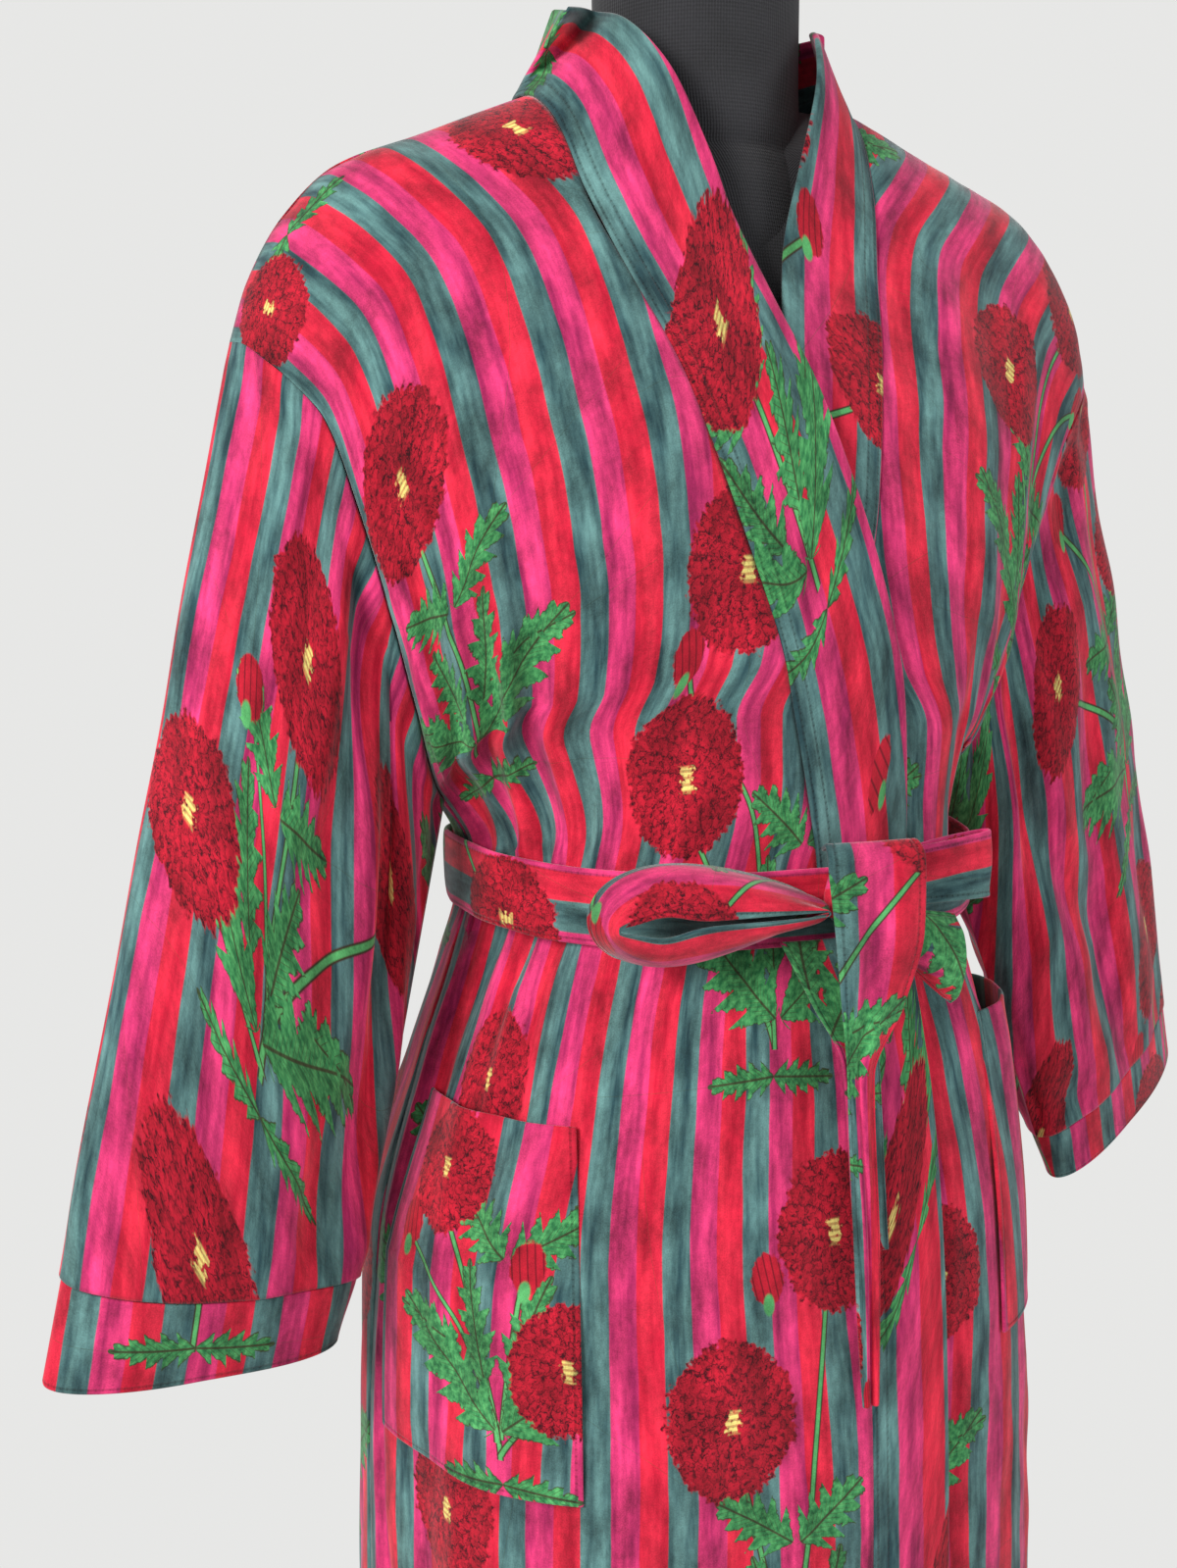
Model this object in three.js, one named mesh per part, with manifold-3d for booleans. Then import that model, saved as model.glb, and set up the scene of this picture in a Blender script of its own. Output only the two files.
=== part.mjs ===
// Velvet kimono robe with its belt, worn on a limbless dress form.
// Millimetres, +Z up, floor at z = 0, the front faces -Y and the wearer's left is +X.
// Every piece of cloth is a thin closed wall: its outer points come from a formula
// on short tables, and its inner points lie one cloth thickness further in.
import * as THREE from 'three';
import Module from 'manifold-3d';
import { mergeVertices } from 'three/addons/utils/BufferGeometryUtils.js';

// Driving dimensions
const BELT_Z = 1040; // height of the belt's middle above the floor
const CLOTH = 2; // velvet with its backing
const BAND_CLOTH = 3; // the neckband is folded double
const BELT_CLOTH = 2.4; // the belt is folded double and pressed
const LOOP_CLOTH = 1.6; // the belt where it is pulled tight into the bow
const SEAM = 0.3; // clearance between pieces that are sewn together
const ARMHOLE_DEPTH = 352; // row where the front and back armhole edges meet
const BELT_ROW = 438; // row that lies under the belt
const HEM_ROW = 1308; // last row of the robe
const NECK_RIGHT = 99; // from the centre plane to the neck seam on the shoulder
const NECK_LEFT = 74;
const BACK_NECK_DROP = 75; // the neck seam's lowest row at the centre back
const BAND_WIDE = 61; // neckband across the chest
const BAND_NARROW = 46; // neckband down the skirt
const BAND_PROUD = 1.2; // the neckband lies over the panel's seam allowance
const LEFT_INSET = 7; // the left front lies under the right one by this much
const BELT_WIDTH = 38;
const BELT_LIFT = 2.2; // from the robe to the belt's inner face
const CUFF_START = 0.9; // share of the sleeve's length where the cuff begins
const CUFF_INSET = 1.4; // the cuff sits inside the sleeve's edge by this much
const CUFF_TUCK = 6; // the cuff narrows towards the underarm seam
const SECTION_POWER = 2.35; // how full the body sections are
const POCKET_FROM_SEAM = 124; // from a pocket's inner edge to the front seam
const POCKET_GAP = 0.5; // from the panel to a pocket
const RIGHT_GAPE = 7; // how far each pocket's mouth stands out
const LEFT_GAPE = 13;
const BELT_SIDE_EASE = 2.5; // extra room of the belt ring at the sides
const BELT_DEPTH_EASE = 2.4; // and at the front and back
const BELT_FRONT_DROP = 8; // the belt is this much lower at the front than at the back
const KNOT = { x: 24, y: -141.8, rise: 8, halfWidth: 21, halfDepth: 13, halfHeight: 17 };
const LARGE_LOOP = { x: -56.5, y: -130.1, halfLength: 58, halfHeight: 22, forward: 28 };
const LOOP_EYE = { x: -86, reach: 16, opening: 2.6, slit: 2.1 };
const SMALL_LOOP = { x: 45.8, y: -140, length: 54, halfHeight: 14, outwards: 10, rise: 13 };
const SHORT_END = { x: 44.95, length: 27, slopeDown: 8 };
const BASE_RADIUS = 165;
const BASE_HEIGHT = 14;
const POLE_RADIUS = 14;

const RIGHT = -1;
const LEFT = 1;

const teal = new THREE.Color(0x466e6e);
const pink = new THREE.Color(0xc42e6a);
const red = new THREE.Color(0xc41f35);
const jersey = new THREE.Color(0x1a1a1c);

function cloth(color) {
  return new THREE.MeshStandardMaterial({ color, roughness: 0.9, metalness: 0 });
}

// A table: column names, then one list of numbers for each row
function named(names, rows) {
  return rows.map((row) => Object.fromEntries(row.map((value, i) => [names[i], value])));
}

// Rows of the body, measured down the cloth from the shoulder line. Heights are from
// the belt, and distances across are from the centre plane.
// side, sideLeft and edge: the armhole or side edge's distance out on the right and the left,
// and its depth from the plane y = 0
// front and back: depth at the centre. seamRight and seamLeft: the front seams.
const BODY_ROWS = named([
  'row', 'zSide', 'zFront', 'zBack', 'side', 'sideLeft', 'edge', 'front', 'back', 'seamRight', 'seamLeft',
], [
  [0, 272, 398, 398, 246, 240, 0, 0, 0, 99, 74],
  [15, 270, 396, 398, 243, 236, 12, 15, 15, 98, 74],
  [40, 261, 385, 397, 235, 227, 27, 36, 38, 95, 74],
  [65, 249, 364, 393, 225, 214, 41, 52, 60, 90, 74],
  [92, 231, 336, 380, 212, 198, 51, 64, 78, 84, 73],
  [140, 190, 290, 338, 198, 180, 55, 88, 96, 69, 65],
  [195, 146, 242, 284, 184, 165, 51, 110, 106, 53, 55],
  [268, 96, 170, 205, 169, 155, 42, 124, 108, 30, 43],
  [325, 58, 112, 138, 155, 148, 22, 127, 106, 12, 28],
  [352, 44, 86, 104, 143, 144, 0, 127, 105, 6, 20],
  [395, 20, 42, 50, 131, 139, 0, 125, 103, -3, 4],
  [438, 0, 0, 0, 131, 138, 0, 122, 102, -10, -10],
  [475, -37, -37, -37, 141, 144, 0, 127, 110, -14, -18],
  [530, -92, -92, -92, 160, 158, 0, 141, 126, -18, -24],
  [620, -182, -182, -182, 183, 172, 0, 154, 143, -20, -26],
  [740, -302, -302, -302, 191, 178, 0, 160, 149, -20, -26],
  [1000, -562, -562, -562, 194, 184, 0, 164, 154, -22, -26],
  [1308, -870, -870, -870, 202, 194, 0, 170, 160, -25, -28],
]);

// Rise of the shoulder line from the drop seam (in = 0) towards the neck (in = 0.6)
const SHOULDER_RISE = named(['in', 'rise'], [
  [0, 0],
  [0.035, 0.22],
  [0.11, 0.48],
  [0.22, 0.69],
  [0.39, 0.83],
  [0.6, 1],
  [0.68, 1.05],
  [1, 1.08],
  [2, 1.08],
]);

// Soft folds of the body: across is the place as a share of the half section (1 = side,
// 0 = centre), at the upper and the lower end. Depth is inwards, and negative stands out.
const RIGHT_FRONT_FOLDS = named(['from', 'to', 'acrossTop', 'acrossEnd', 'wide', 'depth'], [
  [255, 470, 0.93, 0.985, 0.07, 7],
  [285, 480, 0.8, 0.93, 0.06, 8],
  [270, 470, 0.66, 0.84, 0.07, 6],
  [400, 620, 0.97, 0.99, 0.05, 9],
  [420, 760, 0.85, 0.93, 0.06, 6],
  [420, 700, 0.62, 0.55, 0.09, 3.5],
  [560, 1308, 0.96, 0.98, 0.05, 10],
  [640, 1308, 0.4, 0.48, 0.13, 6],
  [700, 1308, 0.78, 0.74, 0.1, 8],
]);
const LEFT_FRONT_FOLDS = named(['from', 'to', 'acrossTop', 'acrossEnd', 'wide', 'depth'], [
  [250, 470, 0.9, 0.97, 0.07, 7],
  [280, 480, 0.74, 0.88, 0.07, 7],
  [420, 700, 0.9, 0.95, 0.06, 6],
  [600, 1308, 0.95, 0.97, 0.05, 9],
  [680, 1308, 0.6, 0.66, 0.12, 8],
]);
const BACK_FOLDS = named(['from', 'to', 'acrossTop', 'acrossEnd', 'wide', 'depth'], [
  [200, 475, -0.72, -0.9, 0.08, 7],
  [230, 470, -0.4, -0.55, 0.1, 6],
  [240, 470, 0.05, 0.02, 0.1, 4],
  [220, 470, 0.42, 0.56, 0.09, 6],
  [200, 475, 0.75, 0.9, 0.08, 7],
  [400, 900, -0.7, -0.62, 0.09, 8],
  [400, 860, 0.66, 0.7, 0.09, 8],
  [560, 1308, -0.3, -0.36, 0.13, 9],
  [600, 1308, 0.2, 0.26, 0.13, 9],
  [640, 1308, 0.86, 0.88, 0.08, 9],
  [640, 1308, -0.88, -0.86, 0.08, 9],
]);

// The open end of each sleeve: the hem's outer and inner corner from the middle of the belt,
// half the hem's thickness and the direction that the sleeve's front faces.
const SLEEVE_END = {
  [RIGHT]: { outer: [-357, -58, -207], inner: [-207, -38, -212], half: 27, faces: [-0.14, -0.98, -0.12] },
  [LEFT]: { outer: [397, 101, -160], inner: [244, 16, -210], half: 22, faces: [0.5, -0.84, -0.2] },
};

// Folds of the sleeve: around is the place on the ring (0 = outer fold, 0.25 = front,
// 0.5 = underarm, 0.75 = back) at the upper and lower end, as shares of the sleeve's length.
const SLEEVE_FOLDS = {
  [RIGHT]: named(['from', 'to', 'acrossTop', 'acrossEnd', 'wide', 'depth'], [
    [0.02, 0.5, 0.3, 0.42, 0.035, 7],
    [0.1, 0.72, 0.22, 0.36, 0.04, 5],
    [0.3, 0.95, 0.4, 0.33, 0.04, 4],
    [0.05, 0.6, 0.72, 0.6, 0.05, 7],
    [0.25, 0.9, 0.82, 0.7, 0.05, 5],
  ]),
  [LEFT]: named(['from', 'to', 'acrossTop', 'acrossEnd', 'wide', 'depth'], [
    [0.02, 0.5, 0.26, 0.4, 0.04, 7],
    [0.2, 0.8, 0.16, 0.3, 0.045, 5],
    [0.05, 0.65, 0.74, 0.6, 0.05, 7],
    [0.3, 0.95, 0.86, 0.76, 0.05, 5],
  ]),
};

// How far the neckband is turned up from the panel, in degrees, along the seam: negative
// rows run from the side of the neck (0) to the centre back (-1).
const BAND_STAND = {
  [RIGHT]: named(['along', 'stand', 'width'], [
    [-1, 66, 48],
    [-0.5, 56, 50],
    [0, 35, 54],
    [40, 24, 59],
    [92, 9, BAND_WIDE + 4],
    [150, 2, BAND_WIDE + 3],
    [352, 0, BAND_WIDE],
    [475, 0, BAND_NARROW + 5],
    [620, 0, BAND_NARROW],
    [1308, 0, BAND_NARROW],
  ]),
  [LEFT]: named(['along', 'stand', 'width'], [
    [-1, 66, 48],
    [-0.5, 68, 42],
    [0, 68, 40],
    [40, 38, 48],
    [92, 10, 54],
    [150, 2, 56],
    [352, 0, 54],
    [475, 0, BAND_NARROW],
    [620, 0, BAND_NARROW],
    [1308, 0, BAND_NARROW],
  ]),
};

// A smooth curve through a table's rows for every named column, without overshoot
function smoothTable(rows, key) {
  const names = Object.keys(rows[0]).filter((name) => name !== key);
  const step = (i, name) => (rows[i + 1][name] - rows[i][name]) / (rows[i + 1][key] - rows[i][key]);
  const last = rows.length - 1;
  const slopes = {};
  for (const name of names) {
    slopes[name] = rows.map((_, i) => {
      if (i === 0) return step(0, name);
      if (i === last) return step(last - 1, name);
      const before = step(i - 1, name);
      const after = step(i, name);
      return before * after <= 0 ? 0 : (2 * before * after) / (before + after);
    });
  }
  return (at) => {
    const x = THREE.MathUtils.clamp(at, rows[0][key], rows[last][key]);
    let i = 0;
    while (i < last - 1 && x > rows[i + 1][key]) i += 1;
    const span = rows[i + 1][key] - rows[i][key];
    const t = (x - rows[i][key]) / span;
    const result = {};
    for (const name of names) {
      const a = rows[i][name];
      const b = rows[i + 1][name];
      const ma = slopes[name][i] * span;
      const mb = slopes[name][i + 1] * span;
      const bend = 2 * a + ma - 2 * b + mb;
      const sag = -3 * a - 2 * ma + 3 * b - mb;
      result[name] = ((bend * t + sag) * t + ma) * t + a;
    }
    return result;
  };
}

const bodyAt = smoothTable(BODY_ROWS, 'row');
const riseAt = smoothTable(SHOULDER_RISE, 'in');
const standAt = {
  [RIGHT]: smoothTable(BAND_STAND[RIGHT], 'along'),
  [LEFT]: smoothTable(BAND_STAND[LEFT], 'along'),
};

function sideOf(hand, row) {
  const b = bodyAt(row);
  return hand === RIGHT ? b.side : b.sideLeft;
}

function neckShare(hand) {
  return (hand === RIGHT ? NECK_RIGHT : NECK_LEFT) / sideOf(hand, 0);
}

function smooth(low, high, x) {
  return THREE.MathUtils.smoothstep(x, low, high);
}

// Depth of the folds at one place: each is a bell-shaped trough along its own line
function foldDepth(folds, row, across) {
  let depth = 0;
  for (const fold of folds) {
    const share = (row - fold.from) / (fold.to - fold.from);
    if (share <= 0 || share > 1) continue;
    const openEnd = fold.to >= HEM_ROW;
    const swell = openEnd ? smooth(0, 0.4, share) : Math.sin(Math.PI * share) ** 0.8;
    const line = THREE.MathUtils.lerp(fold.acrossTop, fold.acrossEnd, share);
    depth += fold.depth * swell * Math.exp(-(((across - line) / fold.wide) ** 2));
  }
  return depth;
}

// A point of the robe's body before folds: facing is -1 at the front and 1 at the back,
// share is the distance from the centre plane as a share of the half section.
function bodyPoint(hand, facing, row, share) {
  const b = bodyAt(row);
  const depth = facing < 0 ? b.front : b.back;
  const zCentre = facing < 0 ? b.zFront : b.zBack;
  const full = Math.max(0, 1 - Math.abs(share) ** SECTION_POWER) ** (1 / SECTION_POWER);
  const z = b.zSide + (zCentre - b.zSide) * riseAt(1 - share).rise;
  const y = facing * (b.edge + (depth - b.edge) * full + SEAM / 2);
  return new THREE.Vector3(hand * sideOf(hand, row) * share, y, BELT_Z + z);
}

function normalOf(point, u, v, du, dv) {
  const alongU = point(u + du, v).sub(point(u - du, v));
  const alongV = point(u, v + dv).sub(point(u, v - dv));
  return alongU.cross(alongV).normalize();
}

// Outward direction of the body, found from nearby points
function bodyNormal(hand, facing, row, share) {
  const at = (r, s) => bodyPoint(hand, facing, Math.max(r, 0), s);
  const inside = THREE.MathUtils.clamp(share, -0.985, 0.985);
  const n = normalOf(at, Math.max(row, 1), inside, 1, 0.012);
  return n.multiplyScalar(hand * facing * -1);
}

function insetAt(hand, row, share) {
  if (hand === RIGHT) return 0;
  return LEFT_INSET * smooth(60, 130, row) * (1 - smooth(0.3, 0.62, share));
}

// A point of a front panel, with its folds: the right one lies over the left one
function frontPoint(hand, row, share) {
  const folds = hand === RIGHT ? RIGHT_FRONT_FOLDS : LEFT_FRONT_FOLDS;
  const covered = hand === LEFT ? smooth(0.3, 0.5, share) : 1;
  const depth = foldDepth(folds, row, share) * covered + insetAt(hand, row, share);
  const p = bodyPoint(hand, -1, row, share);
  if (share > 0.999) return p;
  return p.addScaledVector(bodyNormal(hand, -1, row, share), -depth);
}

function backPoint(row, share) {
  const hand = share < 0 ? RIGHT : LEFT;
  const p = bodyPoint(hand, 1, row, Math.abs(share));
  const n = bodyNormal(hand, 1, row, Math.abs(share));
  const edgeFade = 1 - smooth(0.985, 1, Math.abs(share));
  return p.addScaledVector(n, -foldDepth(BACK_FOLDS, row, share) * edgeFade);
}

// A closed wall from a grid of outer points. ring joins the last column to the first.
// normals may fix the outward direction at some points, such as along a seam.
function wall(grid, thickness, { ring = false, flip = false, normals = null } = {}) {
  const m = grid.length;
  const n = grid[0].length;
  const wrap = (j) => (ring ? (j + n) % n : THREE.MathUtils.clamp(j, 0, n - 1));
  const clampRow = (i) => THREE.MathUtils.clamp(i, 0, m - 1);
  const positions = [];
  const inner = [];
  for (let i = 0; i < m; i += 1) {
    for (let j = 0; j < n; j += 1) {
      const down = grid[clampRow(i + 1)][j].clone().sub(grid[clampRow(i - 1)][j]);
      const across = grid[i][wrap(j + 1)].clone().sub(grid[i][wrap(j - 1)]);
      const computed = down.cross(across).normalize().multiplyScalar(flip ? -1 : 1);
      const out = (normals && normals(i, j)) || computed;
      positions.push(...grid[i][j].toArray());
      inner.push(...grid[i][j].clone().addScaledVector(out, -thickness).toArray());
    }
  }
  const half = m * n;
  const index = [];
  const quad = (a, b, c, d) => {
    const [p, q, r, s] = flip ? [a, d, c, b] : [a, b, c, d];
    index.push(p, q, r, p, r, s);
  };
  const columns = ring ? n : n - 1;
  for (let i = 0; i < m - 1; i += 1) {
    for (let j = 0; j < columns; j += 1) {
      const k = (j + 1) % n;
      const a = i * n + j;
      const b = (i + 1) * n + j;
      const c = (i + 1) * n + k;
      const d = i * n + k;
      quad(a, b, c, d);
      quad(half + a, half + d, half + c, half + b);
    }
  }
  for (let j = 0; j < columns; j += 1) {
    const k = (j + 1) % n;
    const low = (m - 1) * n;
    quad(j, k, half + k, half + j);
    quad(low + k, low + j, half + low + j, half + low + k);
  }
  if (!ring) {
    for (let i = 0; i < m - 1; i += 1) {
      const a = i * n;
      const b = (i + 1) * n;
      quad(b, a, half + a, half + b);
      quad(a + n - 1, b + n - 1, half + b + n - 1, half + a + n - 1);
    }
  }
  return toGeometry(positions.concat(inner), index);
}

function middleOf(ring) {
  return ring.reduce((sum, p) => sum.add(p), new THREE.Vector3()).divideScalar(ring.length);
}

// A closed skin over stacked rings, with a flat fan at each end
function loft(rings) {
  const n = rings[0].length;
  const positions = [];
  const index = [];
  for (const ring of rings) for (const p of ring) positions.push(...p.toArray());
  for (let i = 0; i < rings.length - 1; i += 1) {
    for (let j = 0; j < n; j += 1) {
      const k = (j + 1) % n;
      const a = i * n + j;
      const b = (i + 1) * n + j;
      index.push(a, b, b - j + k, a, b - j + k, a - j + k);
    }
  }
  for (const [ring, start, turn] of [[rings[0], 0, 1], [rings.at(-1), (rings.length - 1) * n, -1]]) {
    const centre = positions.length / 3;
    positions.push(...middleOf(ring).toArray());
    for (let j = 0; j < n; j += 1) {
      const k = (j + 1) % n;
      if (turn > 0) index.push(centre, start + j, start + k);
      else index.push(centre, start + k, start + j);
    }
  }
  return toGeometry(positions, index);
}

function toGeometry(positions, index) {
  const geometry = new THREE.BufferGeometry();
  geometry.setAttribute('position', new THREE.Float32BufferAttribute(positions, 3));
  geometry.setIndex(index);
  return geometry;
}

const group = new THREE.Group();

function add(name, geometry, color) {
  const mesh = new THREE.Mesh(geometry, cloth(color));
  mesh.name = name;
  group.add(mesh);
  return mesh;
}

// Row lists: the armhole rows are shared by the panels and the sleeves
const ARMHOLE_ROWS = [0, 12, 28, 52, 84, 124, 168, 214, 260, 300, 332, ARMHOLE_DEPTH];
const LOWER_ROWS = [395, 438, 470, 506, 538, 584, 626, 668, 714, 820, 980, 1140, HEM_ROW];
const ROWS = ARMHOLE_ROWS.concat(LOWER_ROWS);
const POCKET_ROWS = { [RIGHT]: [538, 714], [LEFT]: [506, 668] };

function linspace(from, to, count) {
  return Array.from({ length: count }, (_, i) => from + ((to - from) * i) / (count - 1));
}

// Sleeves: the ring of the armhole is led to the flattened ring of the hem
const SLEEVE_SPOTS = ARMHOLE_ROWS.length * 2 - 2;

function armholeSpot(spot) {
  const count = ARMHOLE_ROWS.length - 1;
  const facing = spot <= count ? -1 : 1;
  const row = ARMHOLE_ROWS[spot <= count ? spot : 2 * count - spot];
  return { facing, row };
}

function armholePoint(hand, spot) {
  const { facing, row } = armholeSpot(spot);
  const p = bodyPoint(hand, facing, row, 1);
  if (row === 0 || row === ARMHOLE_DEPTH) p.y = 0;
  return p;
}

// Share of the ring at each spot, by the arm's own girth: 0 outer fold, 0.5 underarm
function spotShare(spot) {
  const count = ARMHOLE_ROWS.length - 1;
  const row = ARMHOLE_ROWS[spot <= count ? spot : 2 * count - spot] / ARMHOLE_DEPTH;
  return spot <= count ? row / 2 : 1 - row / 2;
}

function sleevePoint(hand, spot, along) {
  const end = SLEEVE_END[hand];
  const outer = new THREE.Vector3(...end.outer);
  const inner = new THREE.Vector3(...end.inner);
  const angle = spotShare(spot) * 2 * Math.PI;
  const centre = outer.clone().add(inner).multiplyScalar(0.5);
  const across = outer.clone().sub(centre);
  const faces = new THREE.Vector3(...end.faces).normalize();
  const hem = centre.addScaledVector(across, Math.cos(angle));
  hem.addScaledVector(faces, end.half * Math.sin(angle));
  hem.z += BELT_Z;
  const p = armholePoint(hand, spot).lerp(hem, along);
  const girth = Math.sin(Math.PI * along);
  const bulge = 5 * girth * Math.sin(angle);
  p.addScaledVector(faces, bulge);
  const fold = foldDepth(SLEEVE_FOLDS[hand], along, spotShare(spot));
  p.addScaledVector(faces, -fold * Math.sign(Math.sin(angle) + 0.001));
  return p;
}

function sleeveRing(hand, along) {
  return Array.from({ length: SLEEVE_SPOTS }, (_, spot) => sleevePoint(hand, spot, along));
}

// Direction of the seam's edge at the armhole: halfway between panel and sleeve
function armholeNormal(hand, spot) {
  const { facing, row } = armholeSpot(spot);
  const panel = bodyNormal(hand, facing, row, 1);
  const next = (spot + 1) % SLEEVE_SPOTS;
  const last = (spot + SLEEVE_SPOTS - 1) % SLEEVE_SPOTS;
  const around = armholePoint(hand, next).sub(armholePoint(hand, last));
  const down = sleevePoint(hand, spot, 0.06).sub(armholePoint(hand, spot));
  const sleeve = around.cross(down).normalize().multiplyScalar(hand);
  return panel.add(sleeve).normalize();
}

function sleeve(hand, name) {
  const alongs = [0, 0.05, 0.12, 0.2, 0.29, 0.38, 0.47, 0.56, 0.65, 0.74, 0.82, CUFF_START];
  const grid = alongs.map((along) => sleeveRing(hand, along));
  grid[0] = grid[0].map((p, spot) => {
    const around = armholePoint(hand, (spot + 1) % SLEEVE_SPOTS);
    around.sub(armholePoint(hand, (spot + SLEEVE_SPOTS - 1) % SLEEVE_SPOTS)).normalize();
    const down = sleevePoint(hand, spot, 0.05).sub(p);
    const away = down.addScaledVector(around, -down.dot(around)).normalize();
    const underarm = Math.exp(-(((spotShare(spot) - 0.5) / 0.1) ** 2));
    return p.addScaledVector(away, SEAM * (1.6 + 1.4 * underarm));
  });
  const normals = (i, j) => (i === 0 ? armholeNormal(hand, j) : null);
  add(`sleeve_${name}`, wall(grid, CLOTH, { ring: true, flip: hand === LEFT, normals }), pink);
}

function cuff(hand, name) {
  const gap = 0.002;
  const grid = linspace(CUFF_START + gap, 1, 3).map((along) => {
    const ring = sleeveRing(hand, along);
    const centre = middleOf(ring);
    const tuck = CUFF_TUCK * smooth(CUFF_START, 1, along);
    return ring.map((p, spot) => {
      const inner = Math.max(0, -Math.cos(2 * Math.PI * spotShare(spot)));
      p.lerp(centre, (CUFF_INSET + tuck * inner) / p.distanceTo(centre));
      p.z -= tuck * inner;
      return p;
    });
  });
  add(`cuff_${name}`, wall(grid, CLOTH, { ring: true, flip: hand === LEFT }), teal);
}

// Front panels: columns run from the armhole or side edge to the front seam
const SIDE_COLUMNS = 12;
const FRONT_COLUMNS = 24;

function sectionAngle(share) {
  return Math.acos(Math.sign(share) * Math.abs(share) ** (SECTION_POWER / 2));
}

function sectionShare(angle) {
  const c = Math.cos(angle);
  return Math.sign(c) * Math.abs(c) ** (2 / SECTION_POWER);
}

function seamShare(hand, row) {
  return seamOut(hand, row) / sideOf(hand, row);
}

function seamOut(hand, row) {
  const b = bodyAt(row);
  return hand === RIGHT ? b.seamRight : b.seamLeft;
}

function frontShare(hand, row, column) {
  const end = sectionAngle(seamShare(hand, row));
  const skirtRow = Math.max(row, BELT_ROW);
  const girth = 0.515 * (sideOf(hand, skirtRow) + bodyAt(skirtRow).front);
  const pocketEdge = 1 - POCKET_FROM_SEAM / (girth * sectionAngle(seamShare(hand, skirtRow)));
  const t = column < SIDE_COLUMNS
    ? (pocketEdge * column) / SIDE_COLUMNS
    : pocketEdge + ((1 - pocketEdge) * (column - SIDE_COLUMNS)) / (FRONT_COLUMNS - 1 - SIDE_COLUMNS);
  return sectionShare(end * t);
}

function frontGrid(hand) {
  return ROWS.map((row) => Array.from({ length: FRONT_COLUMNS }, (_, column) => (
    frontPoint(hand, row, frontShare(hand, row, column)))));
}

function frontEdgeNormal(hand, row) {
  if (row >= ARMHOLE_DEPTH) return new THREE.Vector3(hand, 0, 0);
  return armholeNormal(hand, ARMHOLE_ROWS.indexOf(row));
}

function shoulderNormal(hand, share) {
  const n = bodyNormal(hand, -1, 0, share);
  n.y = 0;
  return n.normalize();
}

function frontPanel(hand, name) {
  const grid = frontGrid(hand);
  const normals = (i, j) => {
    if (j === 0) return frontEdgeNormal(hand, ROWS[i]);
    if (i === 0) return shoulderNormal(hand, frontShare(hand, 0, j));
    if (j === FRONT_COLUMNS - 1) return bodyNormal(hand, -1, ROWS[i], seamShare(hand, ROWS[i]));
    return null;
  };
  add(`front_${name}`, wall(grid, CLOTH, { flip: hand === LEFT, normals }), pink);
  return grid;
}

// Back panel: columns keep their share of the section from side to side, and those
// between the neck seams start at the back neck curve
function backNeckRow(share) {
  const neck = neckShare(share < 0 ? RIGHT : LEFT);
  const inside = Math.max(0, 1 - (share / neck) ** 2);
  return BACK_NECK_DROP * Math.sqrt(inside);
}

// Columns across the back neck, as shares of the way from the centre to the neck seam
const NECK_COLUMNS = [0.97, 0.86, 0.66, 0.4, 0.16];

function backColumns() {
  const right = -neckShare(RIGHT);
  const left = neckShare(LEFT);
  const angles = linspace(0, sectionAngle(left), 10).map(sectionShare);
  const rightAngles = linspace(0, sectionAngle(-right), 10).map((a) => -sectionShare(a));
  return [
    ...rightAngles,
    ...NECK_COLUMNS.map((s) => s * right),
    0,
    ...NECK_COLUMNS.slice().reverse().map((s) => s * left),
    ...angles.reverse(),
  ];
}

const BACK_COLUMNS = backColumns();

function backRow(share, i) {
  const top = backNeckRow(share);
  const neckRows = 7;
  if (i >= neckRows) return ROWS[i];
  return THREE.MathUtils.lerp(top, ROWS[neckRows], ROWS[i] / ROWS[neckRows]);
}

function backPanel() {
  const last = BACK_COLUMNS.length - 1;
  const grid = ROWS.map((_, i) => BACK_COLUMNS.map((share) => backPoint(backRow(share, i), share)));
  const normals = (i, j) => {
    if (j === 0 || j === last) {
      const hand = j === 0 ? RIGHT : LEFT;
      if (ROWS[i] >= ARMHOLE_DEPTH) return new THREE.Vector3(hand, 0, 0);
      return armholeNormal(hand, (SLEEVE_SPOTS - ARMHOLE_ROWS.indexOf(ROWS[i])) % SLEEVE_SPOTS);
    }
    if (i > 0) return null;
    const share = BACK_COLUMNS[j];
    const hand = share < 0 ? RIGHT : LEFT;
    const n = bodyNormal(hand, 1, backNeckRow(share), Math.abs(share));
    if (backNeckRow(share) === 0) n.y = 0;
    return n.normalize();
  };
  add('back_panel', wall(grid, CLOTH, { flip: true, normals }), red);
}

// Neckband: two halves that meet at the centre back. Each follows its seam round the neck
// and down the front to the hem. It is turned up at the neck and lies flat below.
function bandSeam(hand, along) {
  if (along >= 0) {
    const share = seamShare(hand, along);
    const p = frontPoint(hand, along, share);
    return { p, n: bodyNormal(hand, -1, along, share) };
  }
  const share = neckShare(hand) * Math.cos((-along * Math.PI) / 2);
  const row = backNeckRow(hand * share);
  const p = bodyPoint(hand, 1, row, share);
  return { p, n: bodyNormal(hand, 1, row, share) };
}

function bandFrame(hand, along) {
  const { p, n } = bandSeam(hand, along);
  const nearby = along < 0 ? 0.04 : 4;
  const before = bandSeam(hand, Math.max(along - nearby, -1)).p;
  const after = bandSeam(hand, along + (along < 0 ? Math.min(nearby, -along) : nearby)).p;
  const tangent = after.sub(before).normalize();
  const inwards = n.clone().cross(tangent).normalize().multiplyScalar(-hand);
  return { p, n, inwards };
}

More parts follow.
